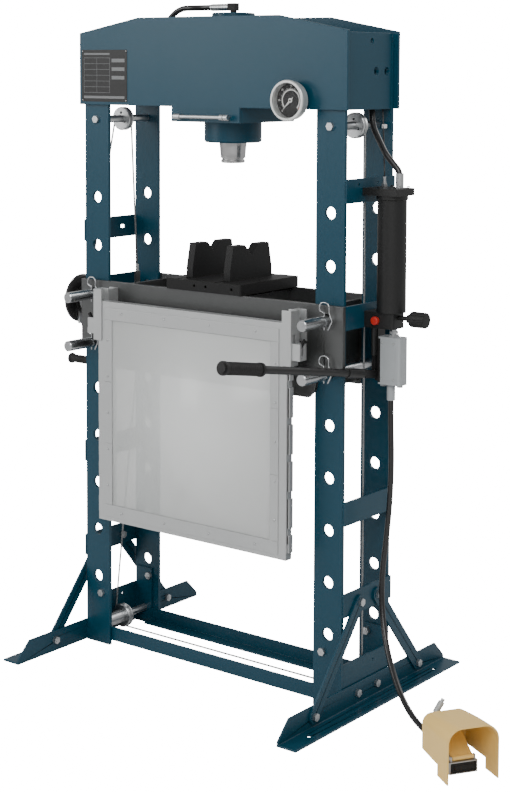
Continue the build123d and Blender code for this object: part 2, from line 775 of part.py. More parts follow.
def bed_plate():
    """Square bed plate on the table: two shallow slots for the V-blocks, tapped holes in front."""
    half = bed_size / 2
    top = table_top + bed_thickness
    plate = block(-half, half, -half, half, table_top, top)
    plate = chamfer(plate.edges().filter_by(Axis.Z), 3)
    for x_low in v_block_places:
        slot_low = x_low - v_slot_clearance
        slot_high = x_low + v_block_thickness + v_slot_clearance
        plate -= block(slot_low, slot_high, -half - 1, half + 1, top - v_slot_depth, top + 1)
    for x in (-30, 10, 100):
        plate -= rod_y(4, -half - 1, -half + 15, x, table_top + bed_thickness / 2)
    return plate


def v_block(x_low):
    """Upright plate with a right-angled V in its top edge."""
    base = table_top + bed_thickness
    top = base + v_block_height
    foot_half = v_block_base / 2
    top_half = v_block_top_width / 2
    v_half = v_width / 2
    foot = base - v_slot_depth
    outline = [(-foot_half, foot), (foot_half, foot), (foot_half, base + 28), (top_half, top), (v_half, top)]
    outline += [(0, top - v_half), (-v_half, top), (-top_half, top), (-foot_half, base + 28)]
    return plate_yz(outline, x_low, x_low + v_block_thickness)


def guard_frame():
    """Aluminium frame of the guard: two uprights and two rails, mitre-free butt joints."""
    back = guard_front + guard_depth
    inner = guard_half_width - guard_upright_width
    upright = block(inner, guard_half_width, guard_front, back, guard_bottom, guard_top)
    bottom = block(-inner, inner, guard_front, back, guard_bottom, guard_bottom + guard_bottom_rail)
    top = block(-inner, inner, guard_front, back, guard_top - guard_top_rail, guard_top)
    return Compound(children=[upright, mirrored(upright), bottom, top])


def guard_opening():
    """Half width, bottom and top of the opening in the guard frame."""
    inner = guard_half_width - guard_upright_width
    return inner, guard_bottom + guard_bottom_rail, guard_top - guard_top_rail


def guard_panel():
    """Clear panel that fills the guard frame."""
    half, low, high = guard_opening()
    half -= soft_gap
    return block(-half, half, guard_front, guard_front + panel_thickness, low + soft_gap, high - soft_gap)


def guard_trim():
    """Clamping strips round the panel and the notched racks on the outer edges."""
    half, low, high = guard_opening()
    face = guard_front
    proud = face - 2
    lap = 7
    band = 27
    trim = [block(-half - 20, half + 20, proud, face, high - lap, high + band)]
    trim.append(block(-half - 20, half + 20, proud, face, low - band, low + lap))
    strip_count = 3
    strip_length = (high - low - 2 * lap) / strip_count
    for index in range(strip_count):
        strip_low = low + lap + index * strip_length + 0.5
        strip_high = strip_low + strip_length - 1
        strip = block(half - lap, half + 20, proud, face, strip_low, strip_high)
        trim += [strip, mirrored(strip)]
    rack_out = guard_half_width + rack_thickness
    rack = block(guard_half_width, rack_out, face + 6, face + guard_depth - 3, guard_bottom + 20, guard_top)
    for index in range(notch_count):
        notch_z = notch_top - notch_pitch * index
        notch = block(guard_half_width + 1, rack_out + 3, face - 1, face + 30, notch_z - 9, notch_z + 9)
        rack -= notch
    trim += [rack, mirrored(rack)]
    return Compound(children=trim)


def latch_pivot():
    """Pivot of the right latch lever in X, Y and Z."""
    return guard_half_width + 28, guard_front + 13, latch_z


def guard_brackets():
    """Brackets, edge guides and latch housings that the guard slides in."""
    gap = guide_clearance
    lip = 3.6
    inner = 316
    back = guard_front + guard_depth + gap
    lip_front = guard_front - gap - lip
    lip_back = back + lip
    web_in = guard_half_width + rack_thickness + gap
    web_out = web_in + 9
    guide = block(inner, web_out, lip_front, lip_back, bracket_low, bracket_high)
    guide -= block(inner - 9, web_in, guard_front - gap, back, bracket_low - 1, bracket_high + 1)
    x, y, z = latch_pivot()
    housing = block(web_out, web_out + 26, guard_front, lip_back, z - 26, z + 18)
    slot = block(inner - 9, web_out + 30, y - 5, y + 5, z - 14, z + 40)
    table_face = -plate_out_y + plate_thickness - table_thickness
    arm = block(inner, inner + 6, lip_back, table_face, arm_low, arm_high)
    arm += block(inner, web_out, lip_back, lip_back + 5, arm_low, arm_high)
    arm += block(inner, inner + 30, table_face - 5, table_face, arm_low, arm_high)
    bracket = guide + housing + arm
    bracket -= slot
    bracket += rod_y(3, y - 6, y + 6, x, z)
    return Compound(children=[bracket, mirrored(bracket)])


def latch_lever():
    """Small latch: pawl towards the rack, thumb lever up and outwards."""
    x, y, z = latch_pivot()
    hub = rod_y(6, y - 3.5, y + 3.5, x, z)
    pawl_tip = guard_half_width + rack_thickness + 1.5
    pawl = plate_xz([(x, z - 5), (x, z + 5), (pawl_tip, z + 14), (pawl_tip, z + 4)], y - 3.5, y + 3.5)
    thumb = plate_xz([(x - 4, z), (x + 4, z), (x + 22, z + 26), (x + 16, z + 31)], y - 3.5, y + 3.5)
    lever = hub + pawl + thumb
    return lever - rod_y(3 + slide_clearance, y - 4, y + 4, x, z)


def gauge_case():
    """Gauge case with bezel and the stub that screws it to the head."""
    front = gauge_front_y
    back = gauge_back_y
    case = gauge_case_radius
    inside = case - gauge_wall
    profile = [(0, back), (case - 3, back), (case, back - 3), (case, front + 10), (bezel_radius, front + 9)]
    profile += [(bezel_radius, front + 2), (bezel_radius - 2, front), (case - 4, front)]
    profile += [(inside, front + 8), (inside, back - gauge_floor), (0, back - gauge_floor)]
    body = turned_y(profile, gauge_x, gauge_z)
    stub = rod_y(9, back, -plate_out_y, gauge_x, gauge_z)
    return body + stub


def gauge_dial():
    """Thin printed dial plate with the needle's pivot post."""
    back = gauge_back_y - gauge_floor
    dial = rod_y(gauge_case_radius - gauge_wall - soft_gap, back - 1, back, gauge_x, gauge_z)
    return dial + rod_y(needle_post_radius, back - 7, back - 1, gauge_x, gauge_z)


def gauge_needle():
    """Needle that points down to the left at rest."""
    y_high = gauge_back_y - gauge_floor - 3
    y_low = y_high - 1.5
    angle = math.radians(225)
    along = (math.cos(angle), math.sin(angle))
    tip = (gauge_x + needle_length * along[0], gauge_z + needle_length * along[1])
    tail = (gauge_x - needle_length / 3 * along[0], gauge_z - needle_length / 3 * along[1])
    left = (gauge_x - 3 * along[1], gauge_z + 3 * along[0])
    right = (gauge_x + 3 * along[1], gauge_z - 3 * along[0])
    needle = plate_xz([tip, left, tail, right], y_low, y_high)
    needle += rod_y(6, y_low, y_high, gauge_x, gauge_z)
    return needle - rod_y(needle_post_radius + 0.05, y_low - 1, y_high + 1, gauge_x, gauge_z)


def gauge_lens():
    """Glass in the bezel."""
    radius = gauge_case_radius - gauge_wall - soft_gap
    return rod_y(radius, gauge_front_y + 8, gauge_front_y + 10, gauge_x, gauge_z)


def apron_handle():
    """Round grab bar on the apron, on two stand-offs."""
    bar_y = -plate_out_y - 18
    bar_z = head_bottom - apron_drop + 15
    bar = rod_x(5, -88, 88, bar_y, bar_z)
    for x in (-80, 80):
        bar += rod_y(7, bar_y, -plate_out_y, x, bar_z)
    return bar


def pump_plate():
    """Top plate of the pump, held by the upper brace."""
    return block(brace_out_x, 565, -42, 42, pump_top - pump_plate_thickness, pump_top)


def pump_tank():
    """Round oil tank between the top plate and the pump body."""
    top = pump_top - pump_plate_thickness
    low = pump_body_high
    profile = [(0, low), (38, low), (38, top - 12), (41, top - 10), (41, top), (0, top)]
    return turned_z(profile, pump_centre_x, 0)


def pump_body():
    """Pump block on the middle brace, with the lever bracket and the valve stem."""
    body = block(brace_out_x, pump_body_x, -28, 28, pump_body_low, pump_body_high)
    body = fillet(body.edges().filter_by(Axis.Z).sort_by(Axis.X)[-2:], 8)
    body += block(lever_x - 4, lever_x + 4, -4, 30, lever_pivot_z - 14, pump_body_low)
    body += rod_x(lever_pin_radius, lever_x - 11, lever_x + 11, lever_pivot_y, lever_pivot_z)
    body += rod_x(valve_stem_radius, pump_body_x, valve_stem_end, 0, valve_z)
    bore = plunger_diameter / 2 + slide_clearance
    return body - rod_z(bore, pump_body_low - 13, pump_body_high - 4, lever_x, plunger_y)


def pump_plunger():
    """Plunger rod with a flat tongue that hangs between the cheeks of the lever."""
    rod = rod_z(plunger_diameter / 2, 930, 1022, lever_x, plunger_y)
    tongue = block(lever_x - 4, lever_x + 4, plunger_y - 3, plunger_y + 3, 874, 930)
    return rod + tongue


def lever_axis():
    """Unit vector along the pump lever, from its pivot to the grip."""
    angle = math.radians(lever_rise)
    return Vector(0, -math.cos(angle), math.sin(angle))


def along_lever(radius, start, end):
    """Round bar along the lever between two distances from its pivot."""
    axis = lever_axis()
    origin = Vector(lever_x, lever_pivot_y, lever_pivot_z) + axis * start
    section = Plane(origin=origin, z_dir=axis) * Circle(radius)
    return extrude(section, amount=end - start)


def lever_block(x_low, x_high, start, end, half_height):
    """Flat bar in line with the lever between two distances from its pivot."""
    centre = Vector(lever_x, lever_pivot_y, lever_pivot_z) + lever_axis() * ((start + end) / 2)
    bar = Box(x_high - x_low, abs(end - start), 2 * half_height)
    return Pos((x_low + x_high) / 2, centre.Y, centre.Z) * Rot(-lever_rise, 0, 0) * bar


def pump_lever():
    """Pump lever: two cheeks on the pivot, cross piece, socket and round bar."""
    lever = along_lever(lever_bar_radius, 70, 650)
    lever += along_lever(lever_bar_radius + 2.5, 80, 150)
    for side in (-1, 1):
        inner = lever_x + side * 4.2
        outer = lever_x + side * 9
        lever += lever_block(min(inner, outer), max(inner, outer), -14, 74, 10)
    lever += lever_block(lever_x - 9, lever_x + 9, 66, 74, 10)
    bore = lever_pin_radius + slide_clearance
    return lever - rod_x(bore, lever_x - 20, lever_x + 20, lever_pivot_y, lever_pivot_z)


def lever_grip():
    """Ribbed rubber grip on the lever."""
    grip = along_lever(17, 512, 520)
    grip += along_lever(14.5, 520, 652)
    grip += along_lever(17, 652, 660)
    grip += along_lever(12, 660, 664)
    return grip - along_lever(lever_bar_radius, 500, 650)


def release_knob():
    """Fluted release knob on the valve stem."""
    knob = rod_x(20.5, valve_stem_end + 2, valve_stem_end + 48, 0, valve_z)
    knob = fillet(knob.edges().filter_by(GeomType.CIRCLE), 4)
    for i in range(8):
        angle = math.radians(45 * i)
        flute_z = valve_z + 22 * math.sin(angle)
        knob -= rod_x(3.5, valve_stem_end - 4, valve_stem_end + 56, 22 * math.cos(angle), flute_z)
    boss = rod_x(11, valve_stem_end - 8, valve_stem_end + 2, 0, valve_z)
    bore = rod_x(valve_stem_radius + slide_clearance, valve_stem_end - 14, valve_stem_end + 1, 0, valve_z)
    return knob + boss - bore


def pump_plug():
    """Red filler plug in the front of the pump body."""
    plug = rod_y(11, -38, -28, 495, pump_body_low + 20)
    return fillet(plug.edges().filter_by(GeomType.CIRCLE).sort_by(Axis.Y)[0], 3)


def control_box():
    """Grey air valve housing under the pump."""
    lid = block(495, 564, -20, 20, control_box_low, control_box_high)
    lid = fillet(lid.edges().filter_by(Axis.Z), 7)
    tab = block(500, 512, -12, 6, control_box_low - 6, control_box_low)
    stub = rod_z(8, control_box_low - 7, control_box_low, 550, 4)
    return lid + tab + stub


def air_fittings():
    """Nipple above the control box, gland below it, and the pump's outlet fittings."""
    low = control_box_high
    nipple = rod_z(8, low, pump_body_low, 533, 0)
    nipple += hexagon_z(26, low, low + 6, 533, 0)
    nipple += hexagon_z(22, low + 9, low + 15, 533, 0)
    top = control_box_low
    gland_profile = [(0, gland_bottom), (11, gland_bottom), (11, top - 7), (9, top), (0, top)]
    gland = turned_z(gland_profile, gland_x, 0)
    outlet = rod_z(8, pump_top, pump_top + port_height, outlet_x, 9)
    outlet += hexagon_z(20, pump_top, pump_top + 8, outlet_x, 9)
    gauge_port = rod_z(5, pump_top, pump_top + port_height, gauge_port_x, 29)
    gauge_port += hexagon_z(14, pump_top, pump_top + 8, gauge_port_x, 29)
    return [nipple, gland, outlet, gauge_port]


def pressure_lines(line_z):
    """Pressure hose from the pump to the cylinder, and the thin gauge line."""
    lane_y = hose_lane_y
    lane_z = hose_lane_z
    port_top = pump_top + port_height
    hose_points = [(-76, 0, line_z), (-250, 0, line_z), (-250, 0, lane_z + 50), (-250, lane_y, lane_z)]
    hose_points += [(250, lane_y, lane_z), (405, 70, lane_z), (437, 38, lane_z - 120)]
    hose_points.append((496, 9, pump_top + 86))
    hose_points += [(outlet_x, 9, port_top + 28), (outlet_x, 9, port_top)]
    hose = tube_along(hose_points, [85, 55, 58, 100, 60, 100, 100, 32], hose_diameter)
    line_points = [(gauge_port_x, 29, port_top), (gauge_port_x, 29, port_top + 30)]
    line_points += [(448, 71, lane_z - 130), (430, 92, lane_z - 40), (352, 60, lane_z + 10)]
    line_points.append((gauge_x, -50, gauge_z))
    line_points.append((gauge_x, -post_out_y, gauge_z))
    line = tube_along(line_points, [30, 60, 60, 25, 20], gauge_line_diameter)
    return Compound(children=[hose, line])


def hood_section(back, half_width, top, radius):
    """Upright arch of the pedal hood at a distance behind its mouth."""
    low = -20.0
    side = top - radius
    points = [(-back, -half_width, low), (-back, -half_width, side)]
    corner = radius * (1 - math.cos(math.radians(45)))
    first_arc = [points[1], (-back, -half_width + corner, top - corner), (-back, -half_width + radius, top)]
    second_arc = [(-back, half_width - radius, top), (-back, half_width - corner, top - corner)]
    second_arc.append((-back, half_width, side))
    edges = [Edge.make_line(points[0], points[1]), Edge.make_three_point_arc(*first_arc)]
    edges += [Edge.make_line(first_arc[2], second_arc[0]), Edge.make_three_point_arc(*second_arc)]
    edges += [Edge.make_line(second_arc[2], (-back, half_width, low))]
    edges += [Edge.make_line((-back, half_width, low), points[0])]
    return Face(Wire(edges))


def pedal_place():
    """Place of the pedal: origin on the floor in the middle of its mouth."""
    return Pos(pedal_mouth[0], pedal_mouth[1], 0) * Rot(0, 0, pedal_angle)


def pedal_hood():
    """Moulded hood, open in front and below, lower at the back than at the mouth."""
    half = pedal_width / 2
    wall = pedal_wall
    outer = loft([
        hood_section(pedal_length, half - 8, pedal_back_height, 24),
        hood_section(pedal_length * 0.6, half - 4, pedal_back_height + 9, 28),
        hood_section(0, half, pedal_mouth_height, 38),
    ])
    inner = loft([
        hood_section(pedal_length - wall, half - 8 - wall, pedal_back_height - wall, 24 - wall),
        hood_section(pedal_length * 0.6, half - 4 - wall, pedal_back_height + 9 - wall, 28 - wall),
        hood_section(-2, half - wall, pedal_mouth_height - wall, 38 - wall),
    ])
    hood = outer - inner
    hood -= block(-pedal_length - 10, 10, -100, 100, -40, 0)
    hood -= block(-pedal_length - 10, -60, -100, 100, -40, 27)
    return pedal_place() * hood


def pedal_base():
    """Channel-shaped pedal base on the floor, with the tread's hinge pin and side arms to the hood."""
    base = block(-150, -50, -37, 37, 0, 30)
    base -= block(-140, -49, -34, 34, 3, 27)
    for side in (-1, 1):
        inner = side * 36
        outer = side * (pedal_width / 2 - 7.6 - pedal_wall - soft_gap)
        base += block(-148, -140, min(inner, outer), max(inner, outer), 22, 34)
        base += block(tread_hinge_x - 4, tread_hinge_x + 4, side * 31 - 2, side * 31 + 2, 30, 42)
    base += rod_y(tread_pin_radius, -33, 33, tread_hinge_x, tread_hinge_z)
    base += block(-pedal_length + pedal_wall + soft_gap, -136, -24, 24, 30, 80)
    return pedal_place() * base


def pedal_tread():
    """Sloping tread plate, hinged near the mouth and rising to the back."""
    outline = [(-54, 34.5), (-54, 38.5), (-62, 41.5), (-122, 76), (-125, 71.5), (-62, 35.5)]
    tread = plate_xz(outline, -28, 28)
    tread += rod_y(5.5, -28, 28, tread_hinge_x, tread_hinge_z)
    tread -= rod_y(tread_pin_radius + slide_clearance, -29, 29, tread_hinge_x, tread_hinge_z)
    return pedal_place() * tread


def pedal_inlet():
    """Bent inlet tube at the back of the pedal with its clear connector."""
    points = [(-pedal_length, -36, 78), (-pedal_length - 13, -36, 78), (-pedal_length - 17, -16, 104)]
    tube = tube_along(points, [8], 12)
    end = Vector(*points[-1])
    direction = (end - Vector(*points[-2])).normalized()
    connector = extrude(Plane(origin=end, z_dir=direction) * Circle(8), amount=30)
    connector += extrude(Plane(origin=end + direction * 30, z_dir=direction) * Circle(5), amount=8)
    return pedal_place() * (tube + connector)


def air_hose():
    """Free air hose from the gland under the control box to the back of the pedal."""
    points = [(gland_x, 0, gland_bottom), (gland_x, 0, 755), (530, 0, 660), (526, 0, 545)]
    points += [(517, -2, 445), (509, -7, 361), (513, -16, 285), (541, -42, 202)]
    points += [(588, -80, 138), (645, -122, 92), (700, -160, 68)]
    tail = pedal_place() * Pos(-pedal_length - 40, air_hose_port_y, air_hose_port_z)
    end = pedal_place() * Pos(-pedal_length, air_hose_port_y, air_hose_port_z)
    points += [tuple(tail.position), tuple(end.position)]
    radii = tangent_radii(points)
    hose = tube_along(points, radii, air_hose_diameter)
    length = FilletPolyline(points, radius=radii).length
    full_volume = length * math.pi * (air_hose_diameter / 2) ** 2
    print("air hose length", round(length), "volume ratio", round(hose.volume / full_volume, 4))
    print("air hose bend radii", [round(radius) for radius in radii])
    return hose


def build():
    """All nodes of the press, by name."""
    elbow, ferrule, line_z = hose_elbow()
    bracket_nodes = guard_brackets()
    latch = latch_lever()
    left = -post_centre_x
    right = post_centre_x
    lower_pin = resting_pin_z(table_hole_z)
    upper_pin = resting_pin_z(table_hole_z + pin_hole_pitch)
    front_table = -post_out_y - table_thickness
    nodes = {
        "head_front_plate": head_plate(-plate_out_y, -post_out_y, []),
        "head_rear_plate": head_plate(post_out_y, plate_out_y, []),
        "head_end_plates": head_end_plates(),
        "cylinder_seat": cylinder_seat(),
        "cylinder_body": cylinder_body(),
        "hose_fittings": Compound(children=[elbow, ferrule]),
        "ram": ram(),
        "post_front_left": post(left, True),
        "post_front_right": post(right, True),
        "post_rear_left": post(left, False),
        "post_rear_right": post(right, False),
        "side_plates": side_plates(),
        "feet": Compound(children=[foot(), mirrored(foot())]),
        "foot_struts": Compound(children=[strut(-1), strut(1), mirrored(strut(-1)), mirrored(strut(1))]),
        "bottom_rails": bottom_rails(),
        "frame_bolts": frame_bolts(),
        "pulley_top_left": pulley(left, upper_pulley_z),
        "pulley_top_right": pulley(right, upper_pulley_z),
        "pulley_bottom_left": pulley(-lower_pulley_x, lower_pulley_z),
        "pulley_bottom_right": pulley(lower_pulley_x, lower_pulley_z),
        "lift_cables": lift_cables(),
        "winch_frame": winch_frame(),
        "winch_drum": winch_drum(),
        "winch_crank": winch_crank(),
        "winch_grip": winch_grip(),
        "table_front_plate": table_plate(front_table, -post_out_y),
        "table_rear_plate": table_plate(post_out_y, -front_table),
        "table_webs": table_webs(),
        "bed_plate": bed_plate(),
        "v_blocks": Compound(children=[v_block(x_low) for x_low in v_block_places]),
        "locking_pin_upper_left": locking_pin(left, upper_pin),
        "locking_pin_lower_left": locking_pin(left, lower_pin),
        "locking_pin_upper_right": locking_pin(right, upper_pin),
        "locking_pin_lower_right": locking_pin(right, lower_pin),
        "guard_frame": guard_frame(),
        "guard_panel": guard_panel(),
        "guard_trim": guard_trim(),
        "guard_brackets": bracket_nodes,
        "latch_lever_right": latch,
        "latch_lever_left": mirrored(latch),
        "pump_plate": pump_plate(),
        "pump_tank": pump_tank(),
        "pump_body": pump_body(),
        "pump_plunger": pump_plunger(),
        "pump_lever": pump_lever(),
        "lever_grip": lever_grip(),
        "release_knob": release_knob(),
        "pump_plug": pump_plug(),
        "control_box": control_box(),
        "air_fittings": Compound(children=air_fittings() + [pedal_inlet()]),
        "pressure_lines": pressure_lines(line_z),
        "gauge_case": gauge_case(),
        "gauge_dial": gauge_dial(),
        "gauge_needle": gauge_needle(),
        "gauge_lens": gauge_lens(),
        "apron_handle": apron_handle(),
        "pedal_hood": pedal_hood(),
        "pedal_base": pedal_base(),
        "pedal_tread": pedal_tread(),
        "air_hose": air_hose(),
    }
    return nodes


os.makedirs("parts", exist_ok=True)
for name, shape in build().items():
    export_step(shape, f"parts/{name}.step")
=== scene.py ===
import bpy
import bmesh
import math
from mathutils import Matrix, Vector


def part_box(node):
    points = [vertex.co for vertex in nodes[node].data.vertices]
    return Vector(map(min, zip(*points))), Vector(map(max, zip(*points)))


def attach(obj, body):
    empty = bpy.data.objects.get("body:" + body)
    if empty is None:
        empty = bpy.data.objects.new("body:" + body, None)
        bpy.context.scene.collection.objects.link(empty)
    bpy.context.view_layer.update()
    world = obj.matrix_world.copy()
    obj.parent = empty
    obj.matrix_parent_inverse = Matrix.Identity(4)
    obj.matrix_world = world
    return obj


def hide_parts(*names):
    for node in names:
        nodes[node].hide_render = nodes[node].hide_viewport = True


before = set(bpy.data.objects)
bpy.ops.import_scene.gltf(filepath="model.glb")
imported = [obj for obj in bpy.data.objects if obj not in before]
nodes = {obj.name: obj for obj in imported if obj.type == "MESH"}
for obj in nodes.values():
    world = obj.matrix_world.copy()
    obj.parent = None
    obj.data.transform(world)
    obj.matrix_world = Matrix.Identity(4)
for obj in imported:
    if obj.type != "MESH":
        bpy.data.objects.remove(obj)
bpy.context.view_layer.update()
mm = 0.001
print("frame loaded,", len(nodes), "nodes")


# camera and light

cameraSet = {
    "place": (2.83598, -3.55641, 1.67188),
    "yaw": -37.356,  # degrees, turned left of straight ahead
    "pitch": 4.2527,  # degrees, looking down
    "roll": 0.2598,
    "lens": 75.04,
    "shift": (-0.0162, -0.2591),
    "sensor": 36,
    "farthest": 50,
}


def placeCamera():
    yaw = math.radians(cameraSet["yaw"])
    pitch = math.radians(cameraSet["pitch"])
    roll = math.radians(cameraSet["roll"])
    ahead = Vector((math.sin(yaw) * math.cos(pitch), math.cos(yaw) * math.cos(pitch), -math.sin(pitch)))
    flat = Vector((math.cos(yaw), -math.sin(yaw), 0))
    upright = flat.cross(ahead)
    side = math.cos(roll) * flat + math.sin(roll) * upright
    top = -math.sin(roll) * flat + math.cos(roll) * upright
    data = bpy.data.cameras.new("photoCamera")
    data.lens = cameraSet["lens"]
    data.sensor_width = cameraSet["sensor"]
    data.shift_x, data.shift_y = cameraSet["shift"]
    data.clip_end = cameraSet["farthest"]
    camera = bpy.data.objects.new("photoCamera", data)
    rows = [[side[i], top[i], -ahead[i], cameraSet["place"][i]] for i in range(3)]
    camera.matrix_world = Matrix(rows + [[0, 0, 0, 1]])
    bpy.context.scene.collection.objects.link(camera)
    bpy.context.scene.camera = camera


lightSet = {
    "key": {"place": (2.4, -3.6, 3.8), "size": 2.6, "power": 135, "aim": (0, 0, 0.9)},
    "fill": {"place": (-2.9, -3.7, 2.6), "size": 2.2, "power": 74, "aim": (0, 0, 1.2)},
    "rear": {"place": (1.0, 3.8, 3.4), "size": 2.4, "power": 55, "aim": (0.4, 0, 1.0)},
    "sky": 0.6,
    "backdrop": 18.0,  # what the camera sees behind the press and on the floor
    "floorShare": 0.75,
}


plainWhite = (1, 1, 1, 1)


# one for a camera ray that has passed through nothing clear, else zero

def seenDirectly(tree):
    path = tree.nodes.new("ShaderNodeLightPath")
    nothingBefore = tree.nodes.new("ShaderNodeMath")
    nothingBefore.operation = "LESS_THAN"
    nothingBefore.inputs[1].default_value = 0.5
    both = tree.nodes.new("ShaderNodeMath")
    both.operation = "MULTIPLY"
    tree.links.new(path.outputs["Transparent Depth"], nothingBefore.inputs[0])
    tree.links.new(path.outputs["Is Camera Ray"], both.inputs[0])
    tree.links.new(nothingBefore.outputs[0], both.inputs[1])
    return both.outputs[0]


def mixShaders(tree, share, first, second, target):
    pick = tree.nodes.new("ShaderNodeMixShader")
    tree.links.new(share, pick.inputs[0])
    tree.links.new(first, pick.inputs[1])
    tree.links.new(second, pick.inputs[2])
    tree.links.new(pick.outputs["Shader"], target)


def placeLamp(name):
    s = lightSet[name]
    data = bpy.data.lights.new(name + "Light", "AREA")
    data.size = s["size"]
    data.energy = s["power"]
    lamp = bpy.data.objects.new(name + "Light", data)
    lamp.location = s["place"]
    lamp.rotation_euler = (Vector(s["aim"]) - Vector(s["place"])).to_track_quat("-Z", "Y").to_euler()
    bpy.context.scene.collection.objects.link(lamp)


def placeLights():
    for name in ("key", "fill", "rear"):
        placeLamp(name)
    world = bpy.data.worlds.new("studio")
    world.use_nodes = True
    tree = world.node_tree
    soft = tree.nodes["Background"]
    bright = tree.nodes.new("ShaderNodeBackground")
    for light, strength in ((soft, lightSet["sky"]), (bright, lightSet["backdrop"])):
        light.inputs["Color"].default_value = plainWhite
        light.inputs["Strength"].default_value = strength
    mixShaders(tree, seenDirectly(tree), soft.outputs["Background"], bright.outputs["Background"],
               tree.nodes["World Output"].inputs["Surface"])
    bpy.context.scene.world = world


# finishes: one dictionary each, colours in linear light

finishes = {
    "frameBlue": {"color": (0.0025, 0.039, 0.066), "second": (0.003, 0.046, 0.076), "kind": "peel",
                  "rough": 0.36, "roughSpread": 0.08, "scale": 900, "bump": 0.035, "shine": 0.32},
    "tableGrey": {"color": (0.13, 0.133, 0.133), "second": (0.09, 0.093, 0.093), "kind": "grain",
                  "rough": 0.38, "roughSpread": 0.14, "scale": 420, "bump": 0.03, "metal": 0.8},
    "guardSilver": {"color": (0.50, 0.51, 0.51), "second": (0.45, 0.46, 0.46), "kind": "brushed",
                    "rough": 0.40, "roughSpread": 0.08, "scale": 500, "stretch": (1, 1, 0.02), "bump": 0.02,
                    "metal": 0.6},
    "blackPaint": {"color": (0.008, 0.008, 0.008), "second": (0.013, 0.013, 0.013), "kind": "peel",
                   "rough": 0.42, "roughSpread": 0.12, "scale": 700, "bump": 0.05, "shine": 0.35},
    "blackIron": {"color": (0.005, 0.005, 0.0055), "second": (0.011, 0.011, 0.011), "kind": "grain",
                  "rough": 0.5, "roughSpread": 0.2, "scale": 260, "bump": 0.10, "shine": 0.25},
    "groundSteel": {"color": (0.56, 0.57, 0.58), "second": (0.44, 0.45, 0.46), "kind": "brushed",
                    "rough": 0.26, "roughSpread": 0.12, "scale": 700, "stretch": (1, 0.03, 1), "bump": 0.03,
                    "metal": 1.0},
    "ramChrome": {"color": (0.6, 0.6, 0.6), "second": (0.48, 0.48, 0.48), "kind": "brushed",
                  "rough": 0.22, "roughSpread": 0.08, "scale": 600, "stretch": (0.03, 0.03, 1), "bump": 0.02,
                  "metal": 1.0},
    "zincPlate": {"color": (0.58, 0.59, 0.59), "second": (0.45, 0.46, 0.47), "kind": "grain",
                  "rough": 0.34, "roughSpread": 0.12, "scale": 300, "bump": 0.03, "metal": 0.95},
    "gripRubber": {"color": (0.006, 0.006, 0.006), "second": (0.010, 0.010, 0.010), "kind": "grain",
                   "rough": 0.6, "roughSpread": 0.1, "scale": 1200, "bump": 0.12, "shine": 0.4},
    "hoseRubber": {"color": (0.007, 0.007, 0.008), "second": (0.013, 0.013, 0.013), "kind": "grain",
                   "rough": 0.28, "roughSpread": 0.08, "scale": 900, "bump": 0.05},
    "boxGrey": {"color": (0.36, 0.38, 0.39), "second": (0.32, 0.34, 0.35), "kind": "grain",
                "rough": 0.45, "roughSpread": 0.08, "scale": 1500, "bump": 0.06},
    "pedalYellow": {"color": (0.92, 0.63, 0.20), "second": (0.86, 0.57, 0.17), "kind": "grain",
                    "rough": 0.42, "roughSpread": 0.1, "scale": 1100, "bump": 0.05},
    "capRed": {"color": (0.5, 0.02, 0.012), "second": (0.42, 0.016, 0.01), "kind": "grain",
               "rough": 0.34, "roughSpread": 0.06, "scale": 800, "bump": 0.03},
    "bezelGrey": {"color": (0.58, 0.59, 0.58), "second": (0.54, 0.55, 0.54), "kind": "grain",
                  "rough": 0.30, "roughSpread": 0.06, "scale": 500, "bump": 0.01, "metal": 0.5},
    "dialBlack": {"color": (0.014, 0.014, 0.015), "second": (0.018, 0.018, 0.019), "kind": "grain",
                  "rough": 0.6, "roughSpread": 0.06, "scale": 900, "bump": 0.02, "shine": 0.2},
    "markWhite": {"color": (0.8, 0.8, 0.78), "second": (0.76, 0.76, 0.74), "kind": "grain",
                  "rough": 0.5, "roughSpread": 0.05, "scale": 900, "bump": 0.01},
    "markGrey": {"color": (0.17, 0.175, 0.18), "second": (0.14, 0.145, 0.15), "kind": "grain",
                 "rough": 0.5, "roughSpread": 0.05, "scale": 900, "bump": 0.01},
    "clipWhite": {"color": (0.72, 0.72, 0.70), "second": (0.68, 0.68, 0.66), "kind": "grain",
                  "rough": 0.42, "roughSpread": 0.05, "scale": 900, "bump": 0.02},
    "wireRope": {"color": (0.42, 0.43, 0.43), "second": (0.16, 0.165, 0.17), "kind": "strand",
                 "rough": 0.4, "roughSpread": 0.1, "scale": 160, "bump": 0.5, "metal": 0.9},
}
clearFinishes = {
    "guardSheet": {"color": (0.80, 0.82, 0.81), "rough": 0.24, "alpha": 0.62},
    "gaugeGlass": {"color": (0.30, 0.30, 0.30), "rough": 0.05, "alpha": 0.04},
    "clearTube": {"color": (0.42, 0.44, 0.44), "rough": 0.12, "alpha": 0.92},
}


textureSet = {"fineDetail": 3, "broadScale": 5, "broadDetail": 4, "broadShare": 0.45, "strandWobble": 0.6,
              "bumpReach": 1 * mm, "cloudScale": 3, "cloudSpread": 0.2}


def patternNodes(tree, s, place):
    new = tree.nodes.new
    link = tree.links.new
    if s["kind"] == "strand":
        wave = new("ShaderNodeTexWave")
        wave.bands_direction = "DIAGONAL"
        wave.inputs["Scale"].default_value = s["scale"]
        wave.inputs["Distortion"].default_value = textureSet["strandWobble"]
        link(place, wave.inputs["Vector"])
        return wave.outputs["Fac"]
    noise = new("ShaderNodeTexNoise")
    noise.inputs["Scale"].default_value = s["scale"]
    noise.inputs["Detail"].default_value = textureSet["fineDetail"]
    if s["kind"] == "brushed":
        mapping = new("ShaderNodeMapping")
        mapping.inputs["Scale"].default_value = s["stretch"]
        link(place, mapping.inputs["Vector"])
        place = mapping.outputs["Vector"]
    link(place, noise.inputs["Vector"])
    return noise.outputs["Fac"]


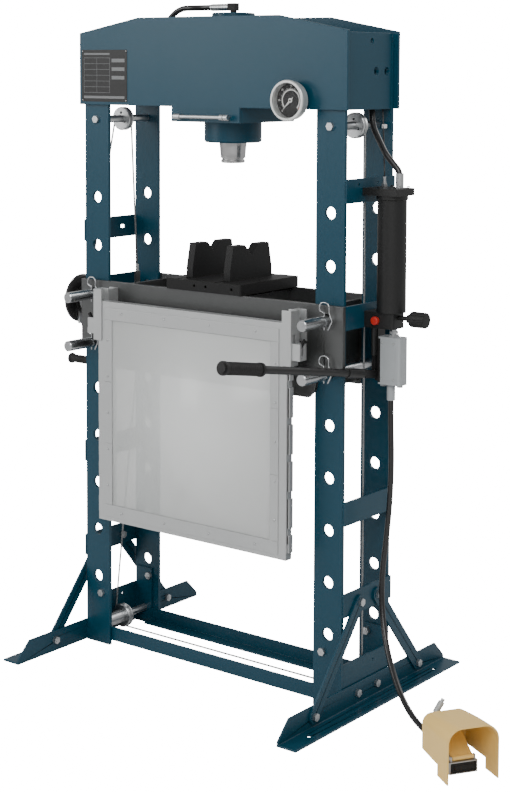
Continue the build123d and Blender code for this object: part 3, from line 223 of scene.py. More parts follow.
def linkGloss(tree, factor, low, high, shader):
    gloss = tree.nodes.new("ShaderNodeMapRange")
    gloss.inputs["To Min"].default_value = low
    gloss.inputs["To Max"].default_value = high
    tree.links.new(factor, gloss.inputs["Value"])
    tree.links.new(gloss.outputs["Result"], shader.inputs["Roughness"])


def makeFinish(name):
    s = finishes[name]
    material = bpy.data.materials.new(name)
    material.use_nodes = True
    tree = material.node_tree
    new = tree.nodes.new
    link = tree.links.new
    shader = tree.nodes["Principled BSDF"]
    place = new("ShaderNodeTexCoord").outputs["Object"]
    fine = patternNodes(tree, s, place)
    broad = new("ShaderNodeTexNoise")
    broad.inputs["Scale"].default_value = textureSet["broadScale"]
    broad.inputs["Detail"].default_value = textureSet["broadDetail"]
    link(place, broad.inputs["Vector"])
    blend = new("ShaderNodeMix")
    blend.data_type = "FLOAT"
    blend.inputs[0].default_value = textureSet["broadShare"]
    link(fine, blend.inputs[2])
    link(broad.outputs["Fac"], blend.inputs[3])
    tint = new("ShaderNodeMix")
    tint.data_type = "RGBA"
    tint.inputs[6].default_value = (*s["color"], 1)
    tint.inputs[7].default_value = (*s["second"], 1)
    link(blend.outputs[0], tint.inputs[0])
    link(tint.outputs[2], shader.inputs["Base Color"])
    half = s["roughSpread"] / 2
    linkGloss(tree, broad.outputs["Fac"], s["rough"] - half, s["rough"] + half, shader)
    bump = new("ShaderNodeBump")
    bump.inputs["Strength"].default_value = s["bump"]
    bump.inputs["Distance"].default_value = textureSet["bumpReach"]
    link(fine, bump.inputs["Height"])
    link(bump.outputs["Normal"], shader.inputs["Normal"])
    shader.inputs["Metallic"].default_value = s.get("metal", 0.0)
    shader.inputs["Specular IOR Level"].default_value = s.get("shine", 0.5)
    return material


def makeClearFinish(name):
    s = clearFinishes[name]
    material = bpy.data.materials.new(name)
    material.use_nodes = True
    tree = material.node_tree
    shader = tree.nodes["Principled BSDF"]
    place = tree.nodes.new("ShaderNodeTexCoord").outputs["Object"]
    cloud = tree.nodes.new("ShaderNodeTexNoise")
    cloud.inputs["Scale"].default_value = textureSet["cloudScale"]
    tree.links.new(place, cloud.inputs["Vector"])
    spread = textureSet["cloudSpread"]
    linkGloss(tree, cloud.outputs["Fac"], s["rough"] * (1 - spread), s["rough"] * (1 + spread), shader)
    shader.inputs["Base Color"].default_value = (*s["color"], 1)
    shader.inputs["Alpha"].default_value = s["alpha"]
    return material


nodeFinish = {
    "frameBlue": ["head_front_plate", "head_rear_plate", "head_end_plates", "cylinder_seat", "cylinder_body",
                  "post_front_left", "post_front_right", "post_rear_left", "post_rear_right", "side_plates",
                  "feet", "foot_struts", "bottom_rails"],
    "tableGrey": ["table_front_plate", "table_rear_plate", "table_webs"],
    "guardSilver": ["guard_frame", "guard_trim", "guard_brackets"],
    "blackPaint": ["pump_plunger", "pump_plate", "pump_tank", "pump_body", "pump_lever", "winch_drum"],
    "blackIron": ["bed_plate", "v_blocks", "latch_lever_left", "latch_lever_right"],
    "groundSteel": ["locking_pin_upper_left", "locking_pin_lower_left", "locking_pin_upper_right",
                    "locking_pin_lower_right"],
    "ramChrome": ["ram"],
    "zincPlate": ["hose_fittings", "frame_bolts", "pulley_top_left", "pulley_top_right",
                  "pulley_bottom_left", "pulley_bottom_right", "winch_frame", "winch_crank", "air_fittings",
                  "apron_handle", "pedal_base"],
    "gripRubber": ["winch_grip", "lever_grip", "release_knob"],
    "hoseRubber": ["pressure_lines"],
    "boxGrey": ["control_box"],
    "pedalYellow": ["pedal_hood", "pedal_tread"],
    "capRed": ["pump_plug"],
    "bezelGrey": ["gauge_case"],
    "dialBlack": ["gauge_dial"],
    "markWhite": ["gauge_needle"],
    "wireRope": ["lift_cables"],
    "guardSheet": ["guard_panel"],
    "gaugeGlass": ["gauge_lens"],
}
zoneEnd = {"far": 9, "elbowX": -0.01405, "glandLow": 0.814, "glandHigh": 0.858, "pedalX": 0.7, "tubeZ": 0.108}
everywhere = (-zoneEnd["far"], zoneEnd["far"])
zones = {
    "hose_fittings": [("blackIron", (zoneEnd["elbowX"], zoneEnd["far"]), everywhere)],
    "air_fittings": [("boxGrey", everywhere, (zoneEnd["glandLow"], zoneEnd["glandHigh"])),
                     ("hoseRubber", (zoneEnd["pedalX"], zoneEnd["far"]), (-zoneEnd["far"], zoneEnd["tubeZ"])),
                     ("clearTube", (zoneEnd["pedalX"], zoneEnd["far"]), (zoneEnd["tubeZ"], zoneEnd["far"]))],
}
softEdge = {"width": 0.7 * mm, "wide": 1.4 * mm, "angle": 32, "segments": 2, "merge": 0.01 * mm}
wideEdged = ["bed_plate", "v_blocks", "feet", "table_front_plate", "table_rear_plate", "head_front_plate",
             "head_rear_plate", "control_box", "pump_body", "pump_plate", "winch_frame"]
unbevelled = ["lift_cables", "pressure_lines", "gauge_lens", "guard_panel", "gauge_needle"]


def softenEdges(piece, width, harden):
    bevel = piece.modifiers.new("softEdge", "BEVEL")
    bevel.width = width
    bevel.segments = softEdge["segments"]
    bevel.limit_method = "ANGLE"
    bevel.angle_limit = math.radians(softEdge["angle"])
    bevel.harden_normals = harden


def smoothTree():
    tree = bpy.data.node_groups.new("smoothFaces", "GeometryNodeTree")
    tree.interface.new_socket(name="Geometry", in_out="INPUT", socket_type="NodeSocketGeometry")
    tree.interface.new_socket(name="Merge Distance", in_out="INPUT", socket_type="NodeSocketFloat")
    tree.interface.new_socket(name="Geometry", in_out="OUTPUT", socket_type="NodeSocketGeometry")
    start = tree.nodes.new("NodeGroupInput")
    end = tree.nodes.new("NodeGroupOutput")
    drop = tree.nodes.new("GeometryNodeRemoveAttribute")
    drop.inputs["Name"].default_value = "custom_normal"
    merge = tree.nodes.new("GeometryNodeMergeByDistance")
    shade = tree.nodes.new("GeometryNodeSetShadeSmooth")
    link = tree.links.new
    link(start.outputs["Geometry"], drop.inputs["Geometry"])
    link(drop.outputs["Geometry"], merge.inputs["Geometry"])
    link(start.outputs["Merge Distance"], merge.inputs["Distance"])
    link(merge.outputs["Geometry"], shade.inputs["Geometry"])
    link(shade.outputs["Geometry"], end.inputs["Geometry"])
    return tree


def inputKey(tree, label):
    for item in tree.interface.items_tree:
        if item.item_type == "SOCKET" and item.in_out == "INPUT" and item.name == label:
            return item.identifier


def dressNodes(looks):
    tree = smoothTree()
    mergeKey = inputKey(tree, "Merge Distance")
    for finish, names in nodeFinish.items():
        for name in names:
            piece = nodes[name]
            piece.data.materials.clear()
            piece.data.materials.append(looks[finish])
            smooth = piece.modifiers.new("smooth", "NODES")
            smooth.node_group = tree
            smooth[mergeKey] = softEdge["merge"]
            if name not in unbevelled:
                softenEdges(piece, softEdge["wide"] if name in wideEdged else softEdge["width"], True)


# each zone is a range across and a range in height

def paintZones(looks):
    for name, places in zones.items():
        mesh = nodes[name].data
        for index, (finish, across, height) in enumerate(places, 1):
            mesh.materials.append(looks[finish])
            for face in mesh.polygons:
                middle = face.center
                if across[0] < middle.x < across[1] and height[0] < middle.z < height[1]:
                    face.material_index = index


# building helpers

def boxInto(bm, low, high):
    corners = bmesh.ops.create_cube(bm, size=1)["verts"]
    middle = (Vector(low) + Vector(high)) / 2
    size = Vector(high) - Vector(low)
    for corner in corners:
        corner.co = Vector(corner.co[i] * size[i] + middle[i] for i in range(3))
    return corners


def rodInto(bm, start, end, radius, endRadius=None, sides=24):
    start, end = Vector(start), Vector(end)
    turn = (end - start).to_track_quat("Z", "Y").to_matrix().to_4x4()
    place = Matrix.Translation((start + end) / 2) @ turn
    tip = radius if endRadius is None else endRadius
    return bmesh.ops.create_cone(bm, cap_ends=True, segments=sides, radius1=radius, radius2=tip,
                                 depth=(end - start).length, matrix=place)["verts"]


def pieceFrom(bm, name, look, body, bevelWidth=0.0, smooth=True):
    mesh = bpy.data.meshes.new(name)
    bmesh.ops.recalc_face_normals(bm, faces=bm.faces)
    bm.to_mesh(mesh)
    bm.free()
    piece = bpy.data.objects.new(name, mesh)
    mesh.materials.append(look)
    bpy.context.scene.collection.objects.link(piece)
    for face in mesh.polygons:
        face.use_smooth = smooth
    if smooth:
        mesh.set_sharp_from_angle(angle=math.radians(softEdge["angle"]))
    if bevelWidth:
        softenEdges(piece, bevelWidth, False)
    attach(piece, body)


def bakeTree(tree, values, name, body):
    base = bpy.data.meshes.new(name + "Base")
    holder = bpy.data.objects.new(name, base)
    bpy.context.scene.collection.objects.link(holder)
    modifier = holder.modifiers.new("build", "NODES")
    modifier.node_group = tree
    for label, value in values.items():
        modifier[inputKey(tree, label)] = value
    made = bpy.data.meshes.new_from_object(holder.evaluated_get(bpy.context.evaluated_depsgraph_get()))
    holder.modifiers.remove(modifier)
    holder.data = made
    made.name = name
    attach(holder, body)


def newTree(name, sockets):
    kinds = {"float": "NodeSocketFloat", "int": "NodeSocketInt", "vector": "NodeSocketVector",
             "material": "NodeSocketMaterial"}
    tree = bpy.data.node_groups.new(name, "GeometryNodeTree")
    tree.interface.new_socket(name="Geometry", in_out="INPUT", socket_type="NodeSocketGeometry")
    for label, kind in sockets:
        tree.interface.new_socket(name=label, in_out="INPUT", socket_type=kinds[kind])
    tree.interface.new_socket(name="Geometry", in_out="OUTPUT", socket_type="NodeSocketGeometry")
    return tree, tree.nodes.new("NodeGroupInput").outputs, tree.nodes.new("NodeGroupOutput").inputs


def finishTree(tree, geometry, material, end):
    real = tree.nodes.new("GeometryNodeRealizeInstances")
    shade = tree.nodes.new("GeometryNodeSetShadeSmooth")
    paint = tree.nodes.new("GeometryNodeSetMaterial")
    tree.links.new(geometry, real.inputs["Geometry"])
    tree.links.new(real.outputs["Geometry"], shade.inputs["Geometry"])
    tree.links.new(shade.outputs["Geometry"], paint.inputs["Geometry"])
    tree.links.new(material, paint.inputs["Material"])
    tree.links.new(paint.outputs["Geometry"], end["Geometry"])


facingFront = (math.radians(90), 0, 0)
facingSide = (0, math.radians(90), 0)
meshSteps = {"screwSides": 18, "screwTop": 0.72, "ringSides": 36, "wireSides": 8, "arcSides": 96}


def screwHead(tree, start):
    head = tree.nodes.new("GeometryNodeMeshCone")
    head.inputs["Vertices"].default_value = meshSteps["screwSides"]
    slim = tree.nodes.new("ShaderNodeMath")
    slim.operation = "MULTIPLY"
    slim.inputs[1].default_value = meshSteps["screwTop"]
    link = tree.links.new
    link(start["Head Radius"], slim.inputs[0])
    link(slim.outputs[0], head.inputs["Radius Top"])
    link(start["Head Radius"], head.inputs["Radius Bottom"])
    link(start["Head Height"], head.inputs["Depth"])
    return head.outputs["Mesh"]


def thinRing(tree, start):
    sweep = tree.nodes.new("GeometryNodeCurveToMesh")
    rounds = (("Ring Radius", "ringSides", "Curve"), ("Wire Radius", "wireSides", "Profile Curve"))
    for label, sides, target in rounds:
        circle = tree.nodes.new("GeometryNodeCurvePrimitiveCircle")
        circle.inputs["Resolution"].default_value = meshSteps[sides]
        tree.links.new(start[label], circle.inputs["Radius"])
        tree.links.new(circle.outputs["Curve"], sweep.inputs[target])
    return sweep.outputs["Mesh"]


def rowTree(name, sizes, makeShape):
    sockets = [("Start", "vector"), ("Step", "vector"), ("Count", "int")]
    sockets += [(label, "float") for label in sizes]
    sockets += [("Turn", "vector"), ("Material", "material")]
    tree, start, end = newTree(name, sockets)
    link = tree.links.new
    line = tree.nodes.new("GeometryNodeMeshLine")
    line.mode = "OFFSET"
    link(start["Count"], line.inputs["Count"])
    link(start["Start"], line.inputs["Start Location"])
    link(start["Step"], line.inputs["Offset"])
    place = tree.nodes.new("GeometryNodeInstanceOnPoints")
    turn = tree.nodes.new("FunctionNodeEulerToRotation")
    link(start["Turn"], turn.inputs["Euler"])
    link(line.outputs["Mesh"], place.inputs["Points"])
    link(makeShape(tree, start), place.inputs["Instance"])
    link(turn.outputs["Rotation"], place.inputs["Rotation"])
    finishTree(tree, place.outputs["Instances"], start["Material"], end)
    return tree


def tickArcTree():
    tree, start, end = newTree("tickArc", [
        ("Centre", "vector"), ("Arc Radius", "float"), ("Start Angle", "float"), ("Sweep Angle", "float"),
        ("Count", "int"), ("Tick Size", "vector"), ("Material", "material")])
    new = tree.nodes.new
    link = tree.links.new
    arc = new("GeometryNodeCurveArc")
    arc.inputs["Resolution"].default_value = meshSteps["arcSides"]
    link(start["Arc Radius"], arc.inputs["Radius"])
    link(start["Start Angle"], arc.inputs["Start Angle"])
    link(start["Sweep Angle"], arc.inputs["Sweep Angle"])
    spread = new("GeometryNodeCurveToPoints")
    spread.mode = "COUNT"
    link(arc.outputs["Curve"], spread.inputs["Curve"])
    link(start["Count"], spread.inputs["Count"])
    tick = new("GeometryNodeMeshCube")
    link(start["Tick Size"], tick.inputs["Size"])
    place = new("GeometryNodeInstanceOnPoints")
    link(spread.outputs["Points"], place.inputs["Points"])
    link(spread.outputs["Rotation"], place.inputs["Rotation"])
    link(tick.outputs["Mesh"], place.inputs["Instance"])
    stand = new("GeometryNodeTransform")
    stand.inputs["Rotation"].default_value = facingFront
    link(place.outputs["Instances"], stand.inputs["Geometry"])
    link(start["Centre"], stand.inputs["Translation"])
    finishTree(tree, stand.outputs["Geometry"], start["Material"], end)
    return tree


# air hose: free from the gland down to the pedal

airHose = {
    "route": [(526, 0, 815), (526, 0, 755), (530, 0, 660), (526, 0, 545), (517, -2, 445), (509, -7, 361),
              (513, -16, 285), (541, -42, 202), (588, -80, 138), (645, -122, 92), (700, -160, 68),
              (752.0, -188.5, 56), (785.4, -210.4, 56)],
    "diameter": 15 * mm,
    "length": 0.965,
    "order": 3,
    "steps": 10,
    "roundness": 6,
}


def makeAirHose(looks):
    data = bpy.data.curves.new("airHose", "CURVE")
    data.dimensions = "3D"
    spline = data.splines.new("NURBS")
    route = [Vector(point) * mm for point in airHose["route"]]
    spline.points.add(len(route) - 1)
    for point, place in zip(spline.points, route):
        point.co = (*place, 1)
    spline.order_u = airHose["order"]
    spline.use_endpoint_u = True
    spline.resolution_u = airHose["steps"]
    data.bevel_depth = airHose["diameter"] / 2
    data.bevel_resolution = airHose["roundness"]
    data.use_fill_caps = True
    data.materials.append(looks["hoseRubber"])
    hose = bpy.data.objects.new("airHose", data)
    bpy.context.scene.collection.objects.link(hose)
    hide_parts("air_hose")
    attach(hose, "frame")


# data plate on the head

dataPlate = {
    "left": -0.455, "right": -0.282, "bottom": 1.575, "top": 1.721, "thick": 1.0 * mm, "edge": 0.3 * mm,
    "margin": 9 * mm, "line": 0.9 * mm, "lift": 0.15 * mm, "fieldRows": 6, "fieldShare": 0.62,
    "aboveFields": 14 * mm, "belowFields": 16 * mm, "headBar": 5 * mm, "footBar": 7 * mm,
    "blocks": 3, "blockDrop": 12 * mm, "blockPitch": 24 * mm, "blockHeight": 10 * mm, "blockGap": 8 * mm,
    "rivetInset": 4 * mm, "rivetRadius": 2 * mm, "rivetHeight": 1 * mm,
}


def plateFields(bm, front):
    s = dataPlate
    high = s["top"] - s["margin"] - s["aboveFields"]
    low = s["bottom"] + s["margin"] + s["belowFields"]
    left = s["left"] + s["margin"]
    right = s["left"] + s["fieldShare"] * (s["right"] - s["left"])
    edge = s["right"] - s["margin"]
    pitch = (high - low) / s["fieldRows"]
    lines = front - s["lift"]
    for row in range(s["fieldRows"] + 1):
        z = low + row * pitch
        boxInto(bm, (left, lines, z), (right, front, z + s["line"]))
    for x in (left, (left + right) / 2, right):
        boxInto(bm, (x, lines, low), (x + s["line"], front, high + s["line"]))
    for row in range(s["blocks"]):
        z = high - s["blockDrop"] - row * s["blockPitch"]
        boxInto(bm, (right + s["blockGap"], lines, z), (edge, front, z + s["blockHeight"]))
    foot = s["bottom"] + s["margin"]
    head = s["top"] - s["margin"]
    boxInto(bm, (left, lines, foot), (edge, front, foot + s["footBar"]))
    boxInto(bm, (left, lines, head - s["headBar"]), (right, front, head))


def makeDataPlate(looks, screwRow):
    s = dataPlate
    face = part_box("head_front_plate")[0].y
    front = face - s["thick"]
    bm = bmesh.new()
    boxInto(bm, (s["left"], front, s["bottom"]), (s["right"], face, s["top"]))
    pieceFrom(bm, "dataPlate", looks["blackPaint"], "frame", s["edge"])
    bm = bmesh.new()
    plateFields(bm, front)
    pieceFrom(bm, "dataPlateFields", looks["markGrey"], "frame", smooth=False)
    inset = s["rivetInset"]
    for side, x in (("Left", s["left"] + inset), ("Right", s["right"] - inset)):
        bakeTree(screwRow, {
            "Start": (x, front, s["bottom"] + inset), "Step": (0, 0, s["top"] - s["bottom"] - 2 * inset),
            "Count": 2, "Head Radius": s["rivetRadius"], "Head Height": s["rivetHeight"],
            "Turn": facingFront, "Material": looks["zincPlate"]}, "plateRivets" + side, "frame")


# gauge face

gaugeFace = {
    "x": 0.303, "z": 1.589, "from": -45, "sweep": 270, "rim": 6 * mm,
    "ring": 26.0 * mm, "ringWidth": 2.4 * mm, "ringLift": 0.4 * mm,
    "limit": 31.8 * mm, "limitWidth": 1.6 * mm, "limitSweep": 63, "limitLift": 0.7 * mm,
    "arcSteps": 72, "arcThick": 0.35 * mm, "tickLift": 0.3 * mm,
    "tick": (3.2 * mm, 0.5 * mm, 0.4 * mm), "tickCount": 61,
    "mark": (6.0 * mm, 1.0 * mm, 0.5 * mm), "markCount": 13,
    "numbers": 6, "numberStep": 10, "numberRadius": 38.6 * mm, "numberSize": 7.4 * mm,
    "numberLift": 0.25 * mm, "numberThick": 0.15 * mm,
}


def arcInto(bm, radius, width, sweep, y):
    s = gaugeFace
    rows = []
    for i in range(s["arcSteps"] + 1):
        angle = math.radians(s["from"] + sweep * i / s["arcSteps"])
        rows.append([bm.verts.new((s["x"] + reach * math.cos(angle), y, s["z"] + reach * math.sin(angle)))
                     for reach in (radius, radius + width)])
    for (a, b), (c, d) in zip(rows, rows[1:]):
        bm.faces.new((a, b, d, c))
    thick = bmesh.ops.extrude_face_region(bm, geom=list(bm.faces))
    for item in thick["geom"]:
        if isinstance(item, bmesh.types.BMVert):
            item.co.y += s["arcThick"]


def numberMesh(text):
    data = bpy.data.curves.new("dialNumber", "FONT")
    data.body = text
    data.size = gaugeFace["numberSize"]
    data.align_x = "CENTER"
    data.align_y = "CENTER"
    data.extrude = gaugeFace["numberThick"]
    holder = bpy.data.objects.new("dialNumber", data)
    bpy.context.scene.collection.objects.link(holder)
    mesh = bpy.data.meshes.new_from_object(holder.evaluated_get(bpy.context.evaluated_depsgraph_get()))
    bpy.data.objects.remove(holder)
    return mesh


def numbersInto(bm, face):
    s = gaugeFace
    upright = Matrix.Rotation(math.radians(90), 4, "X")
    for i in range(s["numbers"] + 1):
        angle = math.radians(s["from"] + s["sweep"] * (1 - i / s["numbers"]))
        x = s["x"] + s["numberRadius"] * math.cos(angle)
        z = s["z"] + s["numberRadius"] * math.sin(angle)
        mesh = numberMesh(str(i * s["numberStep"]))
        mesh.transform(Matrix.Translation((x, face - s["numberLift"], z)) @ upright)
        bm.from_mesh(mesh)


def makeGaugeFace(looks, tickArc):
    s = gaugeFace
    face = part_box("gauge_dial")[0].y + s["rim"]
    outside = s["ring"] + s["ringWidth"]
    base = {"Centre": (s["x"], face - s["tickLift"], s["z"]), "Start Angle": math.radians(s["from"]),
            "Sweep Angle": math.radians(s["sweep"]), "Material": looks["markWhite"]}
    strokes = (("dialTicks", s["tick"], s["tickCount"]), ("dialMarks", s["mark"], s["markCount"]))
    for name, size, count in strokes:
        own = {"Arc Radius": outside + size[0] / 2, "Count": count, "Tick Size": size}
        bakeTree(tickArc, dict(base, **own), name, "frame")
    bm = bmesh.new()
    arcInto(bm, s["ring"], s["ringWidth"], s["sweep"], face - s["ringLift"])
    pieceFrom(bm, "dialRing", looks["markWhite"], "frame", smooth=False)
    bm = bmesh.new()
    arcInto(bm, s["limit"], s["limitWidth"], s["limitSweep"], face - s["limitLift"])
    pieceFrom(bm, "dialLimit", looks["capRed"], "frame", smooth=False)
    bm = bmesh.new()
    numbersInto(bm, face)
    pieceFrom(bm, "dialNumbers", looks["markWhite"], "frame", smooth=False)


# small parts

guardScrews = {"acrossX": -0.242, "stepX": 0.157, "count": 4, "topZ": 0.989, "bottomZ": 0.425, "sideX": 0.294,
               "sideZ": 0.500, "sideStep": 0.103, "sideCount": 5, "radius": 3.6 * mm, "height": 2 * mm}


def makeGuardScrews(looks, screwRow):
    s = guardScrews
    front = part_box("guard_trim")[0].y
    base = {"Head Radius": s["radius"], "Head Height": s["height"], "Turn": facingFront,
            "Material": looks["zincPlate"]}
    across = (s["stepX"], 0, 0)
    upward = (0, 0, s["sideStep"])
    rows = {
        "guardScrewsTop": ((s["acrossX"], front, s["topZ"]), across, s["count"]),
        "guardScrewsBottom": ((s["acrossX"], front, s["bottomZ"]), across, s["count"]),
        "guardScrewsLeft": ((-s["sideX"], front, s["sideZ"]), upward, s["sideCount"]),
        "guardScrewsRight": ((s["sideX"], front, s["sideZ"]), upward, s["sideCount"]),
    }
    for name, (first, step, count) in rows.items():
        bakeTree(screwRow, dict(base, Start=first, Step=step, Count=count), name, "guard")


drumCable = {"drumX": -0.5505, "inset": 3.4 * mm, "z": 0.985, "pitch": 5.15 * mm, "turns": 11,
             "radius": 37.4 * mm, "wire": 2.45 * mm}


def makeDrumCable(looks, ringRow):
    s = drumCable
    bakeTree(ringRow, {
        "Start": (s["drumX"] + s["inset"], 0, s["z"]), "Step": (s["pitch"], 0, 0), "Count": s["turns"],
        "Ring Radius": s["radius"], "Wire Radius": s["wire"], "Turn": facingSide,
        "Material": looks["wireRope"]}, "drumCable", "winch")


crankRibs = {"inset": 18 * mm, "pitch": 6.5 * mm, "count": 10, "radius": 11.6 * mm, "wire": 1.1 * mm}


def makeCrankRibs(looks, ringRow):
    s = crankRibs
    low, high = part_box("winch_grip")
    middle = (low + high) / 2
    bakeTree(ringRow, {
        "Start": (low.x + s["inset"], middle.y, middle.z), "Step": (s["pitch"], 0, 0), "Count": s["count"],
        "Ring Radius": s["radius"], "Wire Radius": s["wire"], "Turn": facingSide,
        "Material": looks["gripRubber"]}, "crankGripRibs", "winch")


leverRibs = {"pivot": (0.482, 0.009, 0.876), "rise": 9.5, "first": 0.530, "pitch": 7 * mm, "count": 17,
             "radius": 14.4 * mm, "wire": 1.3 * mm}


def makeLeverRibs(looks, ringRow):
    s = leverRibs
    rise = math.radians(s["rise"])
    along = Vector((0, -math.cos(rise), math.sin(rise)))
    start = Vector(s["pivot"]) + along * s["first"]
    bakeTree(ringRow, {
        "Start": tuple(start), "Step": tuple(along * s["pitch"]), "Count": s["count"],
        "Ring Radius": s["radius"], "Wire Radius": s["wire"], "Turn": (math.radians(90) - rise, 0, 0),
        "Material": looks["gripRubber"]}, "leverGripRibs", "lever")


ferruleGrooves = {"inset": 6 * mm, "z": 1.838, "pitch": 8 * mm, "count": 6, "radius": 9.2 * mm,
                  "wire": 0.9 * mm}


def makeFerruleGrooves(looks, ringRow):
    s = ferruleGrooves
    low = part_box("hose_fittings")[0]
    bakeTree(ringRow, {
        "Start": (low.x + s["inset"], 0, s["z"]), "Step": (s["pitch"], 0, 0), "Count": s["count"],
        "Ring Radius": s["radius"], "Wire Radius": s["wire"], "Turn": facingSide,
        "Material": looks["zincPlate"]}, "ferruleGrooves", "frame")


hoseSleeves = {"bottom": 1.372, "edge": 0.6 * mm,
               "hose": (0.540, 0.009, 1.404, 10.5 * mm), "gaugeLine": (0.480, 0.029, 1.392, 4.2 * mm)}


def makeHoseSleeves(looks):
    s = hoseSleeves
    bm = bmesh.new()
    for x, y, top, radius in (s["hose"], s["gaugeLine"]):
        rodInto(bm, (x, y, s["bottom"]), (x, y, top), radius)
    pieceFrom(bm, "hoseEndSleeves", looks["zincPlate"], "frame", s["edge"])


cableCrimps = {"x": 0.354, "z": 1.094, "below": 11 * mm, "above": 9 * mm, "radius": 4.6 * mm, "tip": 4.0 * mm,
               "edge": 0.5 * mm}


def makeCableCrimps(looks):
    s = cableCrimps
    bm = bmesh.new()
    for x in (-s["x"], s["x"]):
        rodInto(bm, (x, 0, s["z"] - s["below"]), (x, 0, s["z"] + s["above"]), s["radius"], s["tip"])
    pieceFrom(bm, "cableCrimps", looks["zincPlate"], "frame", s["edge"])


lineClip = {"low": (0.4415, 0.072, 1.515), "high": (0.4510, 0.084, 1.526), "edge": 1.2 * mm}


def makeLineClip(looks):
    bm = bmesh.new()
    boxInto(bm, lineClip["low"], lineClip["high"])
    pieceFrom(bm, "lineClip", looks["clipWhite"], "frame", lineClip["edge"])


weldBeads = {"step": 3.2 * mm, "radius": 2.6 * mm, "height": 2.4 * mm, "count": 16, "lean": 35,
             "x": 0.4545, "y": 0.112, "below": 0.024,
             "Right": (1.359, 1.033, 0.523, 0.281), "Left": (1.204, 1.033, 0.560, 0.281)}


def makeWelds(looks, screwRow):
    s = weldBeads
    base = {"Step": (0, 0, s["step"]), "Count": s["count"], "Head Radius": s["radius"],
            "Head Height": s["height"], "Material": looks["frameBlue"]}
    for side, outward in (("Right", 1), ("Left", -1)):
        for index, z in enumerate(s[side]):
            for end, toRear in (("Front", -1), ("Rear", 1)):
                first = (outward * s["x"], toRear * s["y"], z - s["below"])
                lean = (math.radians(toRear * s["lean"]), 0, 0)
                bakeTree(screwRow, dict(base, Start=first, Turn=lean), f"weld{side}{index}{end}", "frame")


plateScrews = {"x": 0.502, "y": 0.032, "step": 0.050, "lift": 1.5 * mm, "radius": 5 * mm, "height": 3 * mm}


def makePlateScrews(looks, screwRow):
    s = plateScrews
    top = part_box("pump_plate")[1].z
    for side, y in (("Front", -s["y"]), ("Rear", s["y"])):
        bakeTree(screwRow, {
            "Start": (s["x"], y, top + s["lift"]), "Step": (s["step"], 0, 0), "Count": 2,
            "Head Radius": s["radius"], "Head Height": s["height"], "Turn": (0, 0, 0),
            "Material": looks["blackIron"]}, "pumpPlateScrews" + side, "frame")


boxFront = {
    "y": -0.020, "sink": 0.2 * mm, "hingeLeft": 0.4975, "hingeRight": 0.5045, "hingeLow": 0.862,
    "hingeHigh": 0.976, "hingeLift": 0.4 * mm, "lidRight": 0.5505, "lidLow": 0.866, "lidHigh": 0.972,
    "lidLift": 0.25 * mm, "screwLeft": 0.5095, "screwRight": 0.5455, "screwZ": 0.872, "screwStep": 0.094,
    "screwLift": 0.6 * mm, "screwRadius": 2.6 * mm, "screwHeight": 1.2 * mm,
}


def makeBoxFront(looks, screwRow):
    s = boxFront
    inner = s["y"] + s["sink"]
    bm = bmesh.new()
    boxInto(bm, (s["hingeLeft"], s["y"] - s["hingeLift"], s["hingeLow"]),
            (s["hingeRight"], inner, s["hingeHigh"]))
    pieceFrom(bm, "boxHingeStrip", looks["blackPaint"], "frame")
    bm = bmesh.new()
    boxInto(bm, (s["hingeRight"], s["y"] - s["lidLift"], s["lidLow"]), (s["lidRight"], inner, s["lidHigh"]))
    pieceFrom(bm, "boxLidRaise", looks["boxGrey"], "frame")
    for side in ("Left", "Right"):
        bakeTree(screwRow, {
            "Start": (s["screw" + side], s["y"] - s["screwLift"], s["screwZ"]),
            "Step": (0, 0, s["screwStep"]), "Count": 2, "Head Radius": s["screwRadius"],
            "Head Height": s["screwHeight"], "Turn": facingFront, "Material": looks["zincPlate"]},
            "boxScrews" + side, "frame")


handleEnds = {"radius": 8.2 * mm, "behindFront": 5 * mm, "edge": 1.6 * mm,
              "bands": [(-94 * mm, -73 * mm), (66 * mm, 78 * mm), (80 * mm, 94 * mm)]}


def makeHandleEnds(looks):
    s = handleEnds
    low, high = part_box("apron_handle")
    y = low.y + s["behindFront"]
    z = (low.z + high.z) / 2
    bm = bmesh.new()
    for start, end in s["bands"]:
        rodInto(bm, (start, y, z), (end, y, z), s["radius"])
    pieceFrom(bm, "handleEnds", looks["zincPlate"], "frame", s["edge"])


# painted shade: a black block with a raised lip fills the pedal base's open channel and stands in for its
# shaded interior
pedalInside = {"mouth": (0.9385, -0.265), "turn": -33.16, "back": -0.139, "front": -0.053, "half": 0.0335,
               "low": 0.0035, "high": 0.0262, "lipDepth": 4 * mm, "lipProud": 1.5 * mm, "lipInset": 6 * mm,
               "lipShare": 0.7, "edge": 1.0 * mm}


def makePedalShadeBlock(looks):
    s = pedalInside
    lip = s["half"] * s["lipShare"]
    bm = bmesh.new()
    boxInto(bm, (s["back"], -s["half"], s["low"]), (s["front"], s["half"], s["high"]))
    boxInto(bm, (s["front"] - s["lipDepth"], -lip, s["low"] + s["lipInset"]),
            (s["front"] + s["lipProud"], lip, s["high"] - s["lipInset"]))
    place = Matrix.Translation((*s["mouth"], 0)) @ Matrix.Rotation(math.radians(s["turn"]), 4, "Z")
    bmesh.ops.transform(bm, matrix=place, verts=bm.verts)
    pieceFrom(bm, "pedalShadeBlock", looks["gripRubber"], "frame", s["edge"])


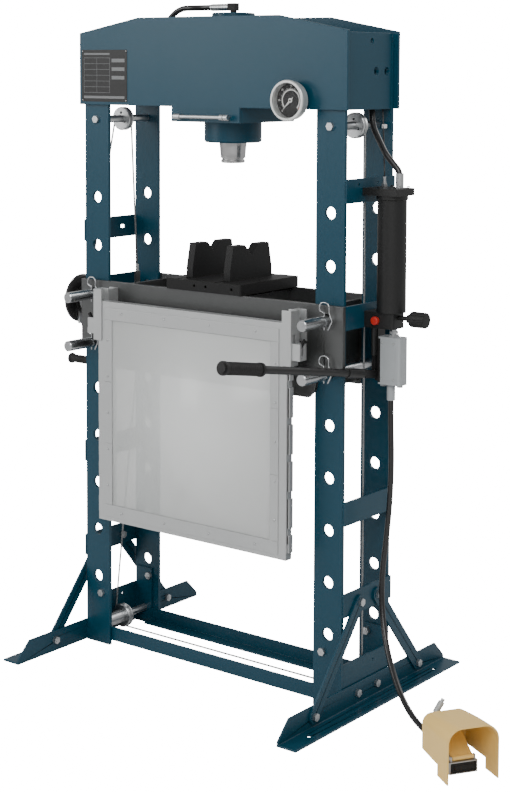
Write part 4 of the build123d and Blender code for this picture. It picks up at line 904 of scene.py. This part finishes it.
floorSet = {"reach": 30, "color": (0.86, 0.86, 0.86), "rough": 0.7}


def makeFloor():
    mesh = bpy.data.meshes.new("floor")
    reach = floorSet["reach"]
    corners = [(x * reach, y * reach, 0) for x, y in ((-1, -1), (1, -1), (1, 1), (-1, 1))]
    mesh.from_pydata(corners, [], [(0, 1, 2, 3)])
    floor = bpy.data.objects.new("floor", mesh)
    material = bpy.data.materials.new("paleFloor")
    material.use_nodes = True
    tree = material.node_tree
    shader = tree.nodes["Principled BSDF"]
    shader.inputs["Base Color"].default_value = (*floorSet["color"], 1)
    shader.inputs["Roughness"].default_value = floorSet["rough"]
    glow = tree.nodes.new("ShaderNodeEmission")
    glow.inputs["Strength"].default_value = lightSet["backdrop"] / lightSet["floorShare"]
    share = tree.nodes.new("ShaderNodeMath")
    share.operation = "MULTIPLY"
    share.inputs[1].default_value = lightSet["floorShare"]
    tree.links.new(seenDirectly(tree), share.inputs[0])
    mixShaders(tree, share.outputs[0], shader.outputs["BSDF"], glow.outputs["Emission"],
               tree.nodes["Material Output"].inputs["Surface"])
    mesh.materials.append(material)
    bpy.context.scene.collection.objects.link(floor)


placeCamera()
placeLights()
makeFloor()
looks = {name: makeFinish(name) for name in finishes}
looks.update({name: makeClearFinish(name) for name in clearFinishes})
print("finishes made,", len(looks))
makeAirHose(looks)
print("air hose laid")
dressNodes(looks)
paintZones(looks)
print("nodes dressed")
screwRow = rowTree("screwRow", ("Head Radius", "Head Height"), screwHead)
ringRow = rowTree("ringRow", ("Ring Radius", "Wire Radius"), thinRing)
makeDataPlate(looks, screwRow)
makeGaugeFace(looks, tickArcTree())
makeGuardScrews(looks, screwRow)
makeDrumCable(looks, ringRow)
makeCrankRibs(looks, ringRow)
makeLeverRibs(looks, ringRow)
makeFerruleGrooves(looks, ringRow)
makeHoseSleeves(looks)
makeCableCrimps(looks)
makeLineClip(looks)
makeWelds(looks, screwRow)
makePlateScrews(looks, screwRow)
makeBoxFront(looks, screwRow)
makeHandleEnds(looks)
makePedalShadeBlock(looks)
print("small parts made")
